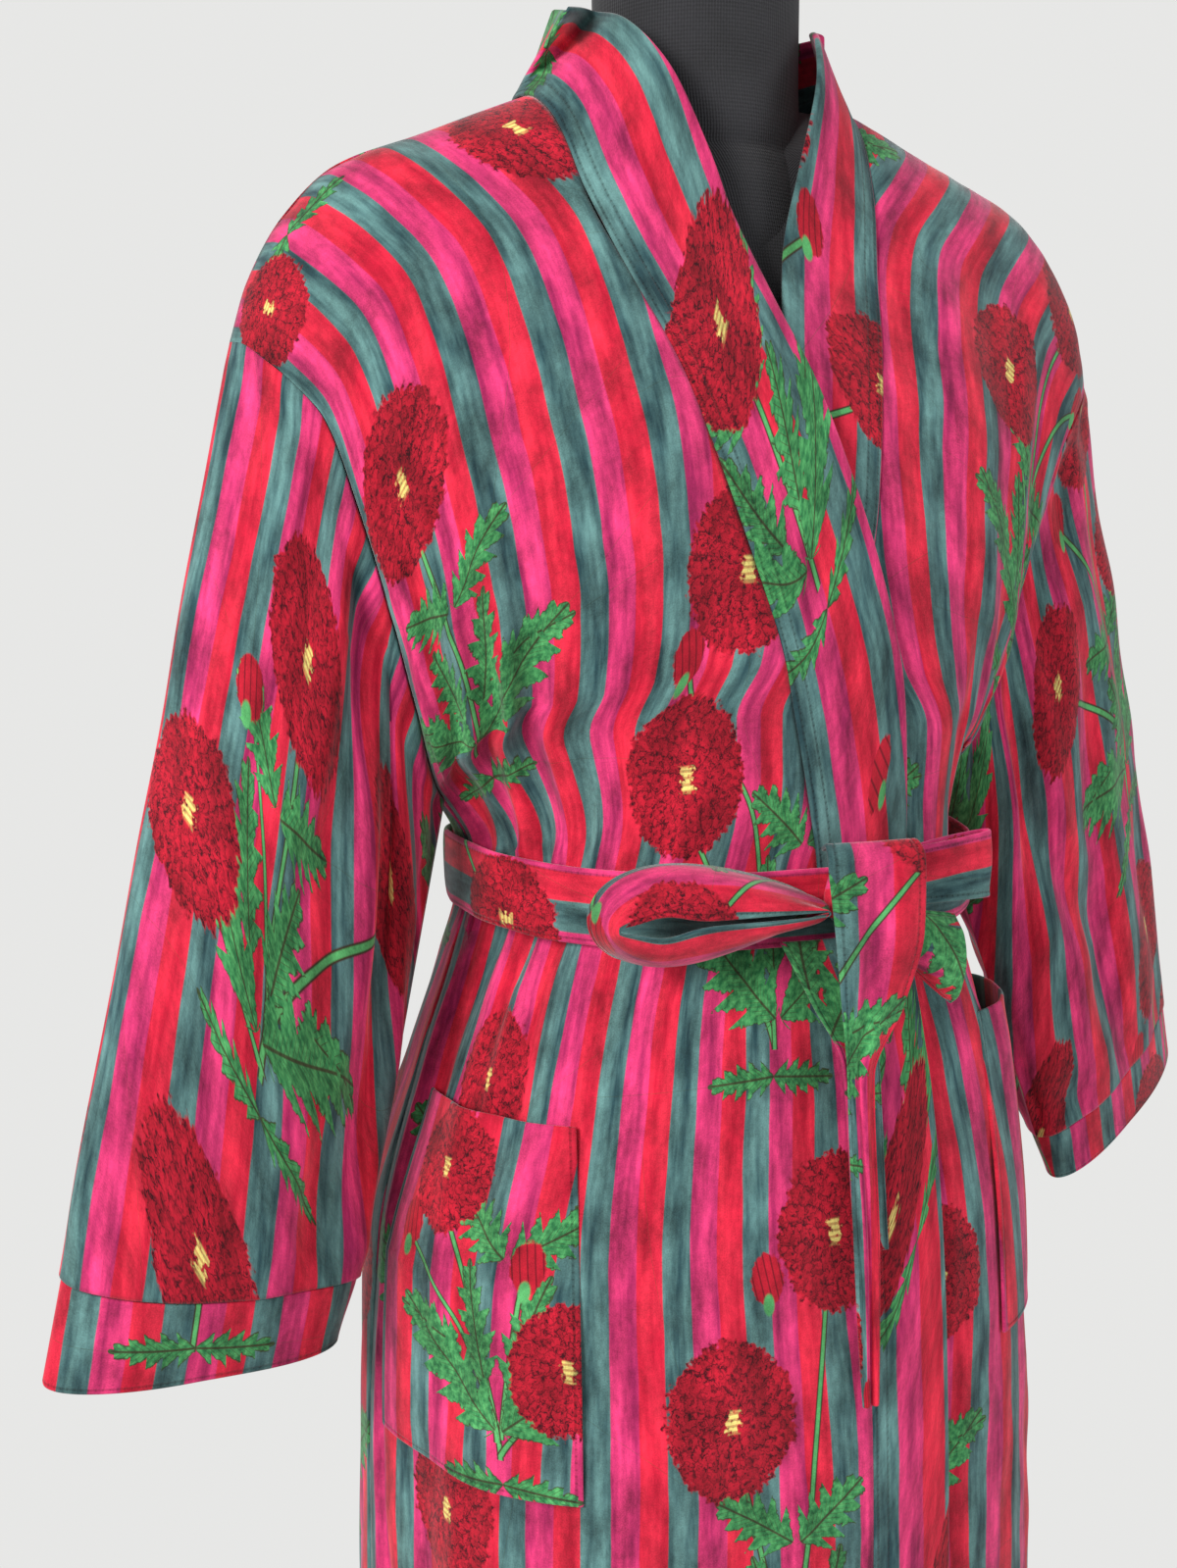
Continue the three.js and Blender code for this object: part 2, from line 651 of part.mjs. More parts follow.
function bandPoint(hand, along, out) {
  const { stand, width } = standAt[hand](along);
  const { p, n, inwards } = bandFrame(hand, along);
  const turn = THREE.MathUtils.degToRad(stand);
  const across = inwards.multiplyScalar(Math.cos(turn)).addScaledVector(n, Math.sin(turn));
  const standing = p.clone().addScaledVector(across, out * width);
  if (along <= 60) return standing;
  const rowStep = 4;
  const slope = (seamOut(hand, along + rowStep) - seamOut(hand, along - rowStep)) / (2 * rowStep);
  const tilt = Math.atan(slope);
  const share = seamShare(hand, along) - (out * width * Math.cos(tilt)) / sideOf(hand, along);
  const rowThere = Math.max(along + out * width * Math.sin(tilt), 0);
  const lying = frontPoint(hand, rowThere, share);
  return standing.lerp(lying, smooth(60, 165, along));
}

function neckband(hand, name) {
  const neckRows = NECK_COLUMNS.map((s) => (-2 / Math.PI) * Math.acos(s)).reverse();
  const alongs = [-1, ...neckRows, ...ROWS];
  const outs = [0, 0.34, 0.67, 1];
  const grid = alongs.map((along) => outs.map((out) => bandPoint(hand, along, out)));
  const outward = (i, j) => {
    const down = grid[Math.min(i + 1, grid.length - 1)][j].clone().sub(grid[Math.max(i - 1, 0)][j]);
    const across = grid[i][Math.min(j + 1, 3)].clone().sub(grid[i][Math.max(j - 1, 0)]);
    return across.cross(down).normalize().multiplyScalar(hand);
  };
  const raised = grid.map((line, i) => line.map((p, j) => {
    if (j > 0) return p.clone().addScaledVector(outward(i, j), BAND_PROUD);
    const { n, inwards } = bandFrame(hand, alongs[i]);
    return p.clone().addScaledVector(n, BAND_PROUD).addScaledVector(inwards, SEAM);
  }));
  raised[0].forEach((p) => { p.x = (hand * SEAM) / 2; });
  const normals = (i, j) => {
    const n = j === 0 ? bandSeam(hand, alongs[i]).n : outward(i, j);
    if (i === 0) n.x = 0;
    return n.normalize();
  };
  add(`neckband_${name}`, wall(raised, BAND_CLOTH, { flip: hand === LEFT, normals }), red);
}

// Patch pocket: the panel's own points between two rows and two columns, moved out. Its
// mouth stands away from the panel in the middle.
function pocket(hand, name, panelGrid, firstColumn, lastColumn, gape) {
  const [top, bottom] = POCKET_ROWS[hand].map((row) => ROWS.indexOf(row));
  const part = panelGrid.slice(top, bottom + 1).map((line) => line.slice(firstColumn, lastColumn + 1));
  const width = lastColumn - firstColumn;
  const grid = part.map((line, i) => line.map((p, j) => {
    const row = panelGrid[top + i];
    const up = panelGrid[top + i - 1][firstColumn + j];
    const down = panelGrid[top + i + 1][firstColumn + j];
    const across = row[firstColumn + j + 1].clone().sub(row[firstColumn + j - 1]);
    const n = across.cross(down.clone().sub(up)).normalize().multiplyScalar(hand);
    const open = Math.sin((Math.PI * j) / width) * (1 - i / (bottom - top)) ** 3;
    return p.clone().addScaledVector(n, CLOTH + POCKET_GAP + gape * open);
  }));
  add(`pocket_${name}`, wall(grid, CLOTH, { flip: hand === LEFT }), pink);
}

// Belt round the waist: a closed ring that is a little higher at the sides and back
function beltRing() {
  const spots = 40;
  const b = bodyAt(BELT_ROW);
  const rows = [1, 0, -1];
  const grid = rows.map((height) => Array.from({ length: spots }, (_, i) => {
    const angle = (i / spots) * 2 * Math.PI;
    const c = Math.cos(angle);
    const s = Math.sin(angle);
    const lift = BELT_LIFT + BELT_CLOTH;
    const side = sideOf(c < 0 ? RIGHT : LEFT, BELT_ROW) + lift + BELT_SIDE_EASE;
    const x = side * Math.sign(c) * Math.abs(c) ** (2 / SECTION_POWER);
    const depth = (s < 0 ? b.front : b.back) + lift + BELT_DEPTH_EASE;
    const y = depth * Math.sign(s) * Math.abs(s) ** (2 / SECTION_POWER);
    const z = BELT_Z - 1 + BELT_FRONT_DROP * (1 - Math.max(0, -s)) + (height * BELT_WIDTH) / 2;
    return new THREE.Vector3(x, y, z);
  }));
  add('belt_waist', wall(grid, BELT_CLOTH, { ring: true, flip: false }), red);
}

// Knot: the wrapped core that the bow and the tails come from
function knot() {
  const rings = [];
  for (const t of linspace(-1, 1, 9)) {
    const size = Math.max(0.34, (1 - Math.abs(t) ** 3) ** (1 / 3));
    const ring = [];
    for (let i = 0; i < 16; i += 1) {
      const a = (i / 16) * 2 * Math.PI;
      const crease = 1 + 0.05 * Math.cos(3 * a + 2 * t);
      ring.push(new THREE.Vector3(
        KNOT.x + KNOT.halfWidth * size * Math.cos(a) * crease,
        KNOT.y + KNOT.halfDepth * size * Math.sin(a) * crease,
        BELT_Z + KNOT.rise + KNOT.halfHeight * t,
      ));
    }
    rings.push(ring);
  }
  rings.reverse();
  add('belt_knot', loft(rings), red);
}

// Large bow loop: its back edge is a long drop shape and its front edges close like lips,
// apart from the eye near the far end
function bowLoop() {
  const spots = 28;
  const outs = linspace(0, 1, 4);
  const grid = outs.map((out) => Array.from({ length: spots }, (_, i) => {
    const a = (i / spots) * 2 * Math.PI;
    const x = LARGE_LOOP.x + LARGE_LOOP.halfLength * Math.cos(a);
    const taper = Math.sin(a) * (1 - 0.42 * Math.cos(a));
    const backZ = 2 + LARGE_LOOP.halfHeight * taper;
    const eye = LOOP_EYE.opening * Math.exp(-(((x - LOOP_EYE.x) / LOOP_EYE.reach) ** 2));
    const frontZ = 1 + (LOOP_EYE.slit + eye) * Math.sign(taper) * Math.min(1, Math.abs(taper) * 8);
    const round = Math.sin((Math.PI / 2) * out);
    const narrow = 1 - 0.1 * out;
    return new THREE.Vector3(
      LARGE_LOOP.x + (x - LARGE_LOOP.x) * narrow,
      LARGE_LOOP.y - LARGE_LOOP.forward * round,
      BELT_Z + THREE.MathUtils.lerp(backZ, frontZ, 1 - Math.cos((Math.PI / 2) * out)),
    );
  }));
  add('bow_loop_large', wall(grid, LOOP_CLOTH, { ring: true, flip: true }), red);
}

// Small bow loop: a flattened ring that points to the wearer's left behind the knot
function smallLoop() {
  const spots = 20;
  const grid = [1, 0.3, -0.3, -1].map((height) => Array.from({ length: spots }, (_, i) => {
    const a = (i / spots) * 2 * Math.PI;
    const c = Math.cos(a);
    const s = Math.sin(a);
    const along = (c + 1) / 2;
    const x = SMALL_LOOP.x + SMALL_LOOP.length * along;
    const thick = (3.4 + 3.1 * along) * Math.sign(s) * Math.abs(s) ** 0.5;
    const y = SMALL_LOOP.y + SMALL_LOOP.outwards * along + thick;
    const tall = SMALL_LOOP.halfHeight + 3 * along;
    return new THREE.Vector3(x, y, BELT_Z + SMALL_LOOP.rise + 2 * along + height * tall);
  }));
  add('bow_loop_small', wall(grid, LOOP_CLOTH, { ring: true, flip: false }), red);
}

// Hanging tails, as rows from top to bottom: left and right edge and distance forward
function tail(name, table, count, fold) {
  const at = smoothTable(table, 'down');
  const end = table.at(-1).down;
  const outs = linspace(0, 1, 6);
  const grid = linspace(0, end, count).map((down) => {
    const r = at(down);
    return outs.map((out) => new THREE.Vector3(
      THREE.MathUtils.lerp(r.left, r.right, out),
      -r.forward - fold * Math.sin(Math.PI * out),
      BELT_Z + r.z,
    ));
  });
  add(name, wall(grid, BELT_CLOTH), teal);
}

const FRONT_TAIL = named(['down', 'z', 'left', 'right', 'forward'], [
  [0, 30, 0, 44, 140.5],
  [9, 33, -3, 46, 150.5],
  [20, 25, -5, 47, 158],
  [55, -10, -2, 46, 159.5],
  [90, -45, 2, 36, 158.5],
  [122, -78, 5, 20, 158.5],
  [200, -155, 8, 21, 162.5],
  [282, -237, 10, 19, 166.5],
]);
const SECOND_TAIL = named(['down', 'z', 'left', 'right', 'forward'], [
  [0, -13.5, -22, 16, 142.1],
  [30, -44, -8, 22, 148.6],
  [60, -74, 6, 26, 153.1],
  [150, -164, 10, 28, 159.1],
]);

// Short end of the belt: folded lengthwise like a roof, it points to the wearer's left
function shortEnd() {
  const alongs = linspace(0, 1, 5);
  const section = [
    { y: -146, z: 2 },
    { y: -155, z: -7 },
    { y: -157, z: -22 },
    { y: -152, z: -37 },
    { y: -143, z: -44 },
  ];
  const grid = section.map((s) => alongs.map((t) => new THREE.Vector3(
    SHORT_END.x + SHORT_END.length * t,
    s.y + 2 * t,
    BELT_Z + s.z * (0.62 + 0.38 * t) - 3 - (SHORT_END.slopeDown - 3) * t,
  )));
  add('belt_short_end', wall(grid, BELT_CLOTH), pink);
}

// Dress form: the torso follows the robe's shoulder closely, and stands clear elsewhere
const FORM_ROWS = named(['row', 'side', 'clear'], [
  [2, 180, 2.95],
  [15, 180, 3],
  [40, 180, 3.6],
  [65, 179, 5],
  [92, 172, 9],
  [140, 160, 14],
  [195, 150, 17],
  [268, 142, 18],
  [352, 125, 19],
  [438, 114, 17],
  [530, 138, 19],
  [620, 150, 22],
  [680, 152, 26],
]);
const NECK_PROFILE = named(['z', 'radius'], [
  [300, 60],
  [352, 57],
  [372, 54.5],
  [410, 53.5],
  [478, 54],
  [484, 51],
]);

function formRing(row) {
  const { side, clear } = smoothTable(FORM_ROWS, 'row')(row);
  const open = 1 - smooth(300, 400, row);
  const points = [];
  for (const facing of [-1, 1]) {
    for (const angle of linspace(0, Math.PI, 16)) {
      const hand = Math.cos(angle) >= 0 ? RIGHT : LEFT;
      const c = Math.abs(sectionShare(angle));
      const share = (c * side) / sideOf(hand, row);
      const n = bodyNormal(hand, facing, row, share);
      const above = bodyPoint(hand, facing, row, share);
      const worn = above.clone().addScaledVector(n, -clear);
      const b = bodyAt(row);
      const depth = (facing < 0 ? b.front : b.back) - clear;
      const full = Math.max(0, 1 - c ** SECTION_POWER) ** (1 / SECTION_POWER);
      const plain = new THREE.Vector3(hand * side * c, facing * Math.max(depth * full, 1), above.z);
      const p = plain.lerp(worn, open);
      points.push(p);
    }
    if (facing < 0) points.reverse();
  }
  return points.reverse();
}

async function dressForm() {
  const rows = [2, 8, 15, 26, 40, 65, 92, 140, 195, 268, 352, 438, 530, 620, 680];
  const torso = loft(rows.map(formRing));
  const profile = [new THREE.Vector2(0, NECK_PROFILE[0].z)];
  for (const { z, radius } of NECK_PROFILE) profile.push(new THREE.Vector2(radius, z));
  profile.push(new THREE.Vector2(0, NECK_PROFILE.at(-1).z));
  const neck = new THREE.LatheGeometry(profile, 28);
  neck.rotateX(Math.PI / 2);
  neck.translate(0, 0, BELT_Z);
  const wasm = await Module();
  wasm.setup();
  add('dress_form', unite(wasm, torso, neck), jersey);
}

function unite(wasm, first, second) {
  const solids = [first, second].map((geometry) => solidOf(wasm, geometry));
  const { vertProperties, triVerts } = solids[0].add(solids[1]).getMesh();
  return toGeometry(Array.from(vertProperties), Array.from(triVerts));
}

function solidOf(wasm, geometry) {
  const source = geometry.index ? geometry.clone() : geometry;
  source.deleteAttribute('normal');
  source.deleteAttribute('uv');
  const merged = mergeVertices(source, 1e-3);
  return new wasm.Manifold(new wasm.Mesh({
    numProp: 3,
    vertProperties: new Float32Array(merged.attributes.position.array),
    triVerts: new Uint32Array(merged.index.array),
  }));
}

// Stand: a pole from under the torso to a round foot plate
function stand() {
  const torsoBottom = BELT_Z + bodyAt(FORM_ROWS.at(-1).row).zFront;
  const base = new THREE.CylinderGeometry(BASE_RADIUS - 4, BASE_RADIUS, BASE_HEIGHT, 32);
  base.rotateX(Math.PI / 2);
  base.translate(0, 0, BASE_HEIGHT / 2);
  add('stand_base', base, jersey);
  const low = BASE_HEIGHT + SEAM;
  const high = torsoBottom - SEAM;
  const pole = new THREE.CylinderGeometry(POLE_RADIUS, POLE_RADIUS, high - low, 20);
  pole.rotateX(Math.PI / 2);
  pole.translate(0, 0, (low + high) / 2);
  add('stand_pole', pole, jersey);
}

const rightGrid = frontPanel(RIGHT, 'right');
const leftGrid = frontPanel(LEFT, 'left');
backPanel();
sleeve(RIGHT, 'right');
sleeve(LEFT, 'left');
cuff(RIGHT, 'right');
cuff(LEFT, 'left');
neckband(RIGHT, 'right');
neckband(LEFT, 'left');
pocket(RIGHT, 'right', rightGrid, 1, SIDE_COLUMNS, RIGHT_GAPE);
pocket(LEFT, 'left', leftGrid, 1, SIDE_COLUMNS, LEFT_GAPE);
beltRing();
knot();
bowLoop();
smallLoop();
tail('belt_tail_front', FRONT_TAIL, 14, 1.5);
tail('belt_tail_second', SECOND_TAIL, 7, 1);
shortEnd();
await dressForm();
stand();

export default group;
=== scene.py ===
# %% [markdown]
# # A striped velvet kimono robe on its dress form
# The solids of the robe are already in the frame: plain walls of cloth, each with its own name.
# Here every wall gets a cloth piece of its own that follows the same section table, and then the
# creases, gathers, stitching and print that the solids leave out. Working from one table keeps
# the cloth on its solid from every side, which fitting by eye would not.

import math

import bmesh
import bpy
import numpy as np
from mathutils import Matrix, Vector


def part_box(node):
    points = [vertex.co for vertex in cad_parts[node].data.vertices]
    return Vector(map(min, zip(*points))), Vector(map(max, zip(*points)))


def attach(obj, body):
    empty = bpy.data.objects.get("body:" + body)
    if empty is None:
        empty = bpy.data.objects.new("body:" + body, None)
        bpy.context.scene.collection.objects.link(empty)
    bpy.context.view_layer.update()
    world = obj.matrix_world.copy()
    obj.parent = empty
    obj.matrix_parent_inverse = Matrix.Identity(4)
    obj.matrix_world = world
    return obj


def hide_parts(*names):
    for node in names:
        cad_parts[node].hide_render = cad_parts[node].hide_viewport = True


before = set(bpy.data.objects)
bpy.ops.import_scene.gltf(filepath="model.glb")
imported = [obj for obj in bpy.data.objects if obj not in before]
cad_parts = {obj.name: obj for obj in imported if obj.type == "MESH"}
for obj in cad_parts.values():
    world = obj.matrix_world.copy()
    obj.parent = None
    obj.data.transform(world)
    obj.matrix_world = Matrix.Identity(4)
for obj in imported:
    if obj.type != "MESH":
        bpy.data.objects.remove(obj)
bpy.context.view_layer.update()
MM = 0.001
RIGHT, LEFT = -1, 1
FRONT, BACK = -1, 1
print("solids in the frame:", len(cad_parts))

# %% [markdown]
# ## Camera
# The view was found by matching shoulder tips, belt ends, cuffs and the pocket with their real
# sizes. A camera is three directions (right, up and back) and a place, so it is set as a matrix.

# %% Camera
PHOTO_HIGH = 1599
FOCAL_PIXELS = 1758.1
SENSOR = 36
camera_place = Vector((-0.3856, -0.8545, 1.1872))
camera_turn = 0.4239 - 0.0634  # radians from +Y towards +X
camera_dip = 0.1069
camera_roll = -0.0097

ahead = Vector((
    math.sin(camera_turn) * math.cos(camera_dip),
    math.cos(camera_turn) * math.cos(camera_dip),
    -math.sin(camera_dip),
))
level_right = Vector((math.cos(camera_turn), -math.sin(camera_turn), 0))
level_up = level_right.cross(ahead)
right = level_right * math.cos(camera_roll) + level_up * math.sin(camera_roll)
up = level_up * math.cos(camera_roll) - level_right * math.sin(camera_roll)

camera = bpy.data.objects.new("camera", bpy.data.cameras.new("camera"))
bpy.context.scene.collection.objects.link(camera)
turn = Matrix((right, up, -ahead)).transposed().to_4x4()
camera.matrix_world = Matrix.Translation(camera_place) @ turn
camera.data.sensor_width = SENSOR
camera.data.lens = FOCAL_PIXELS / PHOTO_HIGH * SENSOR
camera.data.clip_start = 0.05
bpy.context.scene.camera = camera
print("lens", round(camera.data.lens, 1), "mm")

# %% [markdown]
# ## Light
# The robe hangs in front of a pale wall in soft daylight. A large lamp on the left gives the soft
# shade on the right side of each fold, and a pale world fills the rest. The world looks brighter to
# the camera than it shines on the cloth, so the wall is pale and the folds keep their shade. The
# Standard view transform is chosen because it keeps dyed colours as strong as they are mixed.


# %% Light and view
def soft_lamp(name, place, target, size, power, tint):
    lamp = bpy.data.objects.new(name, bpy.data.lights.new(name, "AREA"))
    lamp.data.size = size
    lamp.data.energy = power
    lamp.data.color = tint
    lamp.location = place
    aim = Vector(target) - Vector(place)
    lamp.rotation_euler = aim.to_track_quat("-Z", "Y").to_euler()
    bpy.context.scene.collection.objects.link(lamp)
    return lamp


soft_lamp("window_left", (-2.9, -1.5, 2.3), (0, 0, 1.15), 1.4, 122, (1.0, 0.985, 0.96))
soft_lamp("fill_right", (2.4, -2.4, 1.7), (0, 0, 1.0), 2.0, 40, (0.97, 0.98, 1.0))
soft_lamp("back_glow", (0.6, 2.6, 2.4), (0, 0, 1.1), 2.4, 16, (1, 1, 1))
world = bpy.data.worlds.new("pale_room")
world.use_nodes = True
background = world.node_tree.nodes["Background"]
background.inputs["Color"].default_value = (0.8, 0.8, 0.79, 1)
seen = world.node_tree.nodes.new("ShaderNodeLightPath")
brighter = world.node_tree.nodes.new("ShaderNodeMapRange")
brighter.inputs["To Min"].default_value = 0.52
brighter.inputs["To Max"].default_value = 1.0
world.node_tree.links.new(seen.outputs["Is Camera Ray"], brighter.inputs["Value"])
world.node_tree.links.new(brighter.outputs[0], background.inputs["Strength"])
bpy.context.scene.world = world
bpy.context.scene.view_settings.view_transform = "Standard"

# %% [markdown]
# ## Colours and a small sum helper
# Paint colours are picked in screen values and turned into the linear values that a
# renderer mixes. The print is drawn with sums, so a short helper writes Math nodes for `+`,
# `*` and the like: the pattern then reads as a formula.


# %% Colours
def dye(red, green, blue):
    """A colour from screen values of 0 to 255, as linear red, green, blue and 1."""
    shares = [v / 255 for v in (red, green, blue)]
    return tuple(s / 12.92 if s <= 0.04045 else ((s + 0.055) / 1.055) ** 2.4 for s in shares) + (1,)


TEAL = dye(38, 68, 74)
TEAL_PALE = dye(96, 136, 134)
PINK = dye(232, 62, 122)
PINK_DEEP = dye(150, 30, 82)
RED = dye(180, 18, 48)
RED_PALE = dye(226, 44, 70)
FLOWER = dye(178, 22, 44)
FLOWER_DEEP = dye(66, 6, 20)
LEAF = dye(84, 164, 98)
LEAF_DEEP = dye(40, 112, 66)
OUTLINE = dye(58, 44, 30)
POLLEN = dye(236, 220, 128)
print("dyes mixed")


# %% Sums written as nodes
class Sum:
    """A number in a node tree. Python's signs build the Math nodes."""

    tree = None

    def __init__(self, socket):
        self.socket = socket

    @staticmethod
    def node(kind, **settings):
        made = Sum.tree.nodes.new(kind)
        for name, value in settings.items():
            setattr(made, name, value)
        return made

    @staticmethod
    def math(operation, *values):
        made = Sum.node("ShaderNodeMath", operation=operation)
        for place, value in zip(made.inputs, values):
            if isinstance(value, Sum):
                Sum.tree.links.new(value.socket, place)
            else:
                place.default_value = value
        return Sum(made.outputs[0])

    def __add__(self, other):
        return Sum.math("ADD", self, other)

    def __radd__(self, other):
        return Sum.math("ADD", self, other)

    def __sub__(self, other):
        return Sum.math("SUBTRACT", self, other)

    def __rsub__(self, other):
        return Sum.math("SUBTRACT", other, self)

    def __mul__(self, other):
        return Sum.math("MULTIPLY", self, other)

    def __rmul__(self, other):
        return Sum.math("MULTIPLY", self, other)

    def __truediv__(self, other):
        return Sum.math("DIVIDE", self, other)

    def __abs__(self):
        return Sum.math("ABSOLUTE", self)


def wave(x):
    return Sum.math("SINE", x)


def least(a, b):
    return Sum.math("MINIMUM", a, b)


def most(a, b):
    return Sum.math("MAXIMUM", a, b)


def wrap(x, high, low=0.0):
    return Sum.math("WRAP", x, high, low)


def rounded_down(x):
    return Sum.math("FLOOR", x)


def length_of(x, y):
    return Sum.math("SQRT", x * x + y * y)


def under(x, limit, soft):
    """1 where x is below limit and 0 where it is above, over a soft border."""
    made = Sum.node("ShaderNodeMapRange", interpolation_type="SMOOTHSTEP")
    for name, value in (("Value", x), ("From Min", limit - soft), ("From Max", limit + soft)):
        if isinstance(value, Sum):
            Sum.tree.links.new(value.socket, made.inputs[name])
        else:
            made.inputs[name].default_value = value
    made.inputs["To Min"].default_value = 1
    made.inputs["To Max"].default_value = 0
    return Sum(made.outputs[0])


def pick(share, a, b):
    """a where share is 0, b where it is 1."""
    return a + (b - a) * share


def speckle(x, y, scale, detail=2.0, roughness=0.5):
    """Soft noise from 0 to 1 at a place in millimetres; scale is the size of a fleck."""
    place = Sum.node("ShaderNodeCombineXYZ")
    Sum.tree.links.new((x * (1 / scale)).socket, place.inputs[0])
    Sum.tree.links.new((y * (1 / scale)).socket, place.inputs[1])
    made = Sum.node("ShaderNodeTexNoise", noise_dimensions="2D")
    Sum.tree.links.new(place.outputs[0], made.inputs["Vector"])
    made.inputs["Scale"].default_value = 1
    made.inputs["Detail"].default_value = detail
    made.inputs["Roughness"].default_value = roughness
    return Sum(made.outputs[0])


def paint(share, below, above):
    """One colour laid over another where share is 1. Colours are sockets or values."""
    made = Sum.node("ShaderNodeMix", data_type="RGBA")
    Sum.tree.links.new(share.socket, made.inputs["Factor"])
    for name, colour in (("A", below), ("B", above)):
        place = [i for i in made.inputs if i.name == name and i.type == "RGBA"][0]
        if isinstance(colour, tuple):
            place.default_value = colour
        else:
            Sum.tree.links.new(colour, place)
    return [o for o in made.outputs if o.type == "RGBA"][0]


print("sum helper ready")

# %% [markdown]
# ## The worn form
# A robe on a body is a stack of level sections. Each row of the table is one section, measured
# down the cloth from the shoulder, in millimetres: how far out the side is, how deep the front
# and back are, and where the front seams run. A smooth curve through the rows gives any point.


# %% Smooth tables
def smooth_table(names, rows):
    """A smooth curve through each named column of a table, without overshoot."""
    names = names.split()
    table = np.array(rows, float)
    key, values = table[:, 0], table[:, 1:]
    steps = np.diff(values, axis=0) / np.diff(key)[:, None]
    before, after = steps[:-1], steps[1:]
    both = np.where(before + after == 0, 1, before + after)
    inner = np.where(before * after > 0, 2 * before * after / both, 0)
    slopes = np.vstack([steps[:1], inner, steps[-1:]])

    def at(x):
        x = np.clip(np.asarray(x, float), key[0], key[-1])
        i = np.clip(np.searchsorted(key, x, side="right") - 1, 0, len(key) - 2)
        span = (key[i + 1] - key[i])[..., None]
        t = (x - key[i])[..., None] / span
        a, b, ma, mb = values[i], values[i + 1], slopes[i] * span, slopes[i + 1] * span
        bend, sag = 2 * a + ma - 2 * b + mb, -3 * a - 2 * ma + 3 * b - mb
        result = ((bend * t + sag) * t + ma) * t + a
        return dict(zip(names[1:], np.moveaxis(result, -1, 0)))

    return at


def smooth_step(low, high, x):
    t = np.clip((x - low) / (high - low), 0, 1)
    return t * t * (3 - 2 * t)


BELT_Z = 1040
SEAM = 0.3
ARMHOLE_DEPTH = 352
BELT_ROW = 438
HEM_ROW = 1308
SECTION_POWER = 2.35
BACK_NECK_DROP = 75
NECK_OUT = {RIGHT: 99, LEFT: 74}
body_at = smooth_table("row zSide zFront zBack side sideLeft edge front back seamRight seamLeft", [
    [0, 272, 398, 398, 246, 240, 0, 0, 0, 99, 74],
    [15, 270, 396, 398, 243, 236, 12, 15, 15, 98, 74],
    [40, 261, 385, 397, 235, 227, 27, 36, 38, 95, 74],
    [65, 249, 364, 393, 225, 214, 41, 52, 60, 90, 74],
    [92, 231, 336, 380, 212, 198, 51, 64, 78, 84, 73],
    [140, 190, 290, 338, 198, 180, 55, 88, 96, 69, 65],
    [195, 146, 242, 284, 184, 165, 51, 110, 106, 53, 55],
    [268, 96, 170, 205, 169, 155, 42, 124, 108, 30, 43],
    [325, 58, 112, 138, 155, 148, 22, 127, 106, 12, 28],
    [352, 44, 86, 104, 143, 144, 0, 127, 105, 6, 20],
    [395, 20, 42, 50, 131, 139, 0, 125, 103, -3, 4],
    [438, 0, 0, 0, 131, 138, 0, 122, 102, -10, -10],
    [475, -37, -37, -37, 141, 144, 0, 127, 110, -14, -18],
    [530, -92, -92, -92, 160, 158, 0, 141, 126, -18, -24],
    [620, -182, -182, -182, 183, 172, 0, 154, 143, -20, -26],
    [740, -302, -302, -302, 191, 178, 0, 160, 149, -20, -26],
    [1000, -562, -562, -562, 194, 184, 0, 164, 154, -22, -26],
    [1308, -870, -870, -870, 202, 194, 0, 170, 160, -25, -28],
])
rise_at = smooth_table("in rise", [
    [0, 0], [0.035, 0.22], [0.11, 0.48], [0.22, 0.69], [0.39, 0.83],
    [0.6, 1], [0.68, 1.05], [1, 1.08], [2, 1.08],
])
print("belt section:", {k: round(float(v)) for k, v in body_at(BELT_ROW).items()})

# %% [markdown]
# The large folds stand in the solids too, so they are listed here with the same numbers: where a
# fold starts and ends down the cloth, where it lies across, and how wide and deep it is.

# %% Large folds of the body
FOLD = ("start", "end", "across_top", "across_end", "wide", "depth")
RIGHT_FRONT_FOLDS = [
    [255, 470, 0.93, 0.985, 0.07, 7],
    [285, 480, 0.8, 0.93, 0.06, 8],
    [270, 470, 0.66, 0.84, 0.07, 6],
    [400, 620, 0.97, 0.99, 0.05, 9],
    [420, 760, 0.85, 0.93, 0.06, 6],
    [420, 700, 0.62, 0.55, 0.09, 3.5],
    [560, 1308, 0.96, 0.98, 0.05, 10],
    [640, 1308, 0.4, 0.48, 0.13, 6],
    [700, 1308, 0.78, 0.74, 0.1, 8],
]
LEFT_FRONT_FOLDS = [
    [250, 470, 0.9, 0.97, 0.07, 7],
    [280, 480, 0.74, 0.88, 0.07, 7],
    [420, 700, 0.9, 0.95, 0.06, 6],
    [600, 1308, 0.95, 0.97, 0.05, 9],
    [680, 1308, 0.6, 0.66, 0.12, 8],
]
BACK_FOLDS = [
    [200, 475, -0.72, -0.9, 0.08, 7],
    [230, 470, -0.4, -0.55, 0.1, 6],
    [240, 470, 0.05, 0.02, 0.1, 4],
    [220, 470, 0.42, 0.56, 0.09, 6],
    [200, 475, 0.75, 0.9, 0.08, 7],
    [400, 900, -0.7, -0.62, 0.09, 8],
    [400, 860, 0.66, 0.7, 0.09, 8],
    [560, 1308, -0.3, -0.36, 0.13, 9],
    [600, 1308, 0.2, 0.26, 0.13, 9],
    [640, 1308, 0.86, 0.88, 0.08, 9],
    [640, 1308, -0.88, -0.86, 0.08, 9],
]


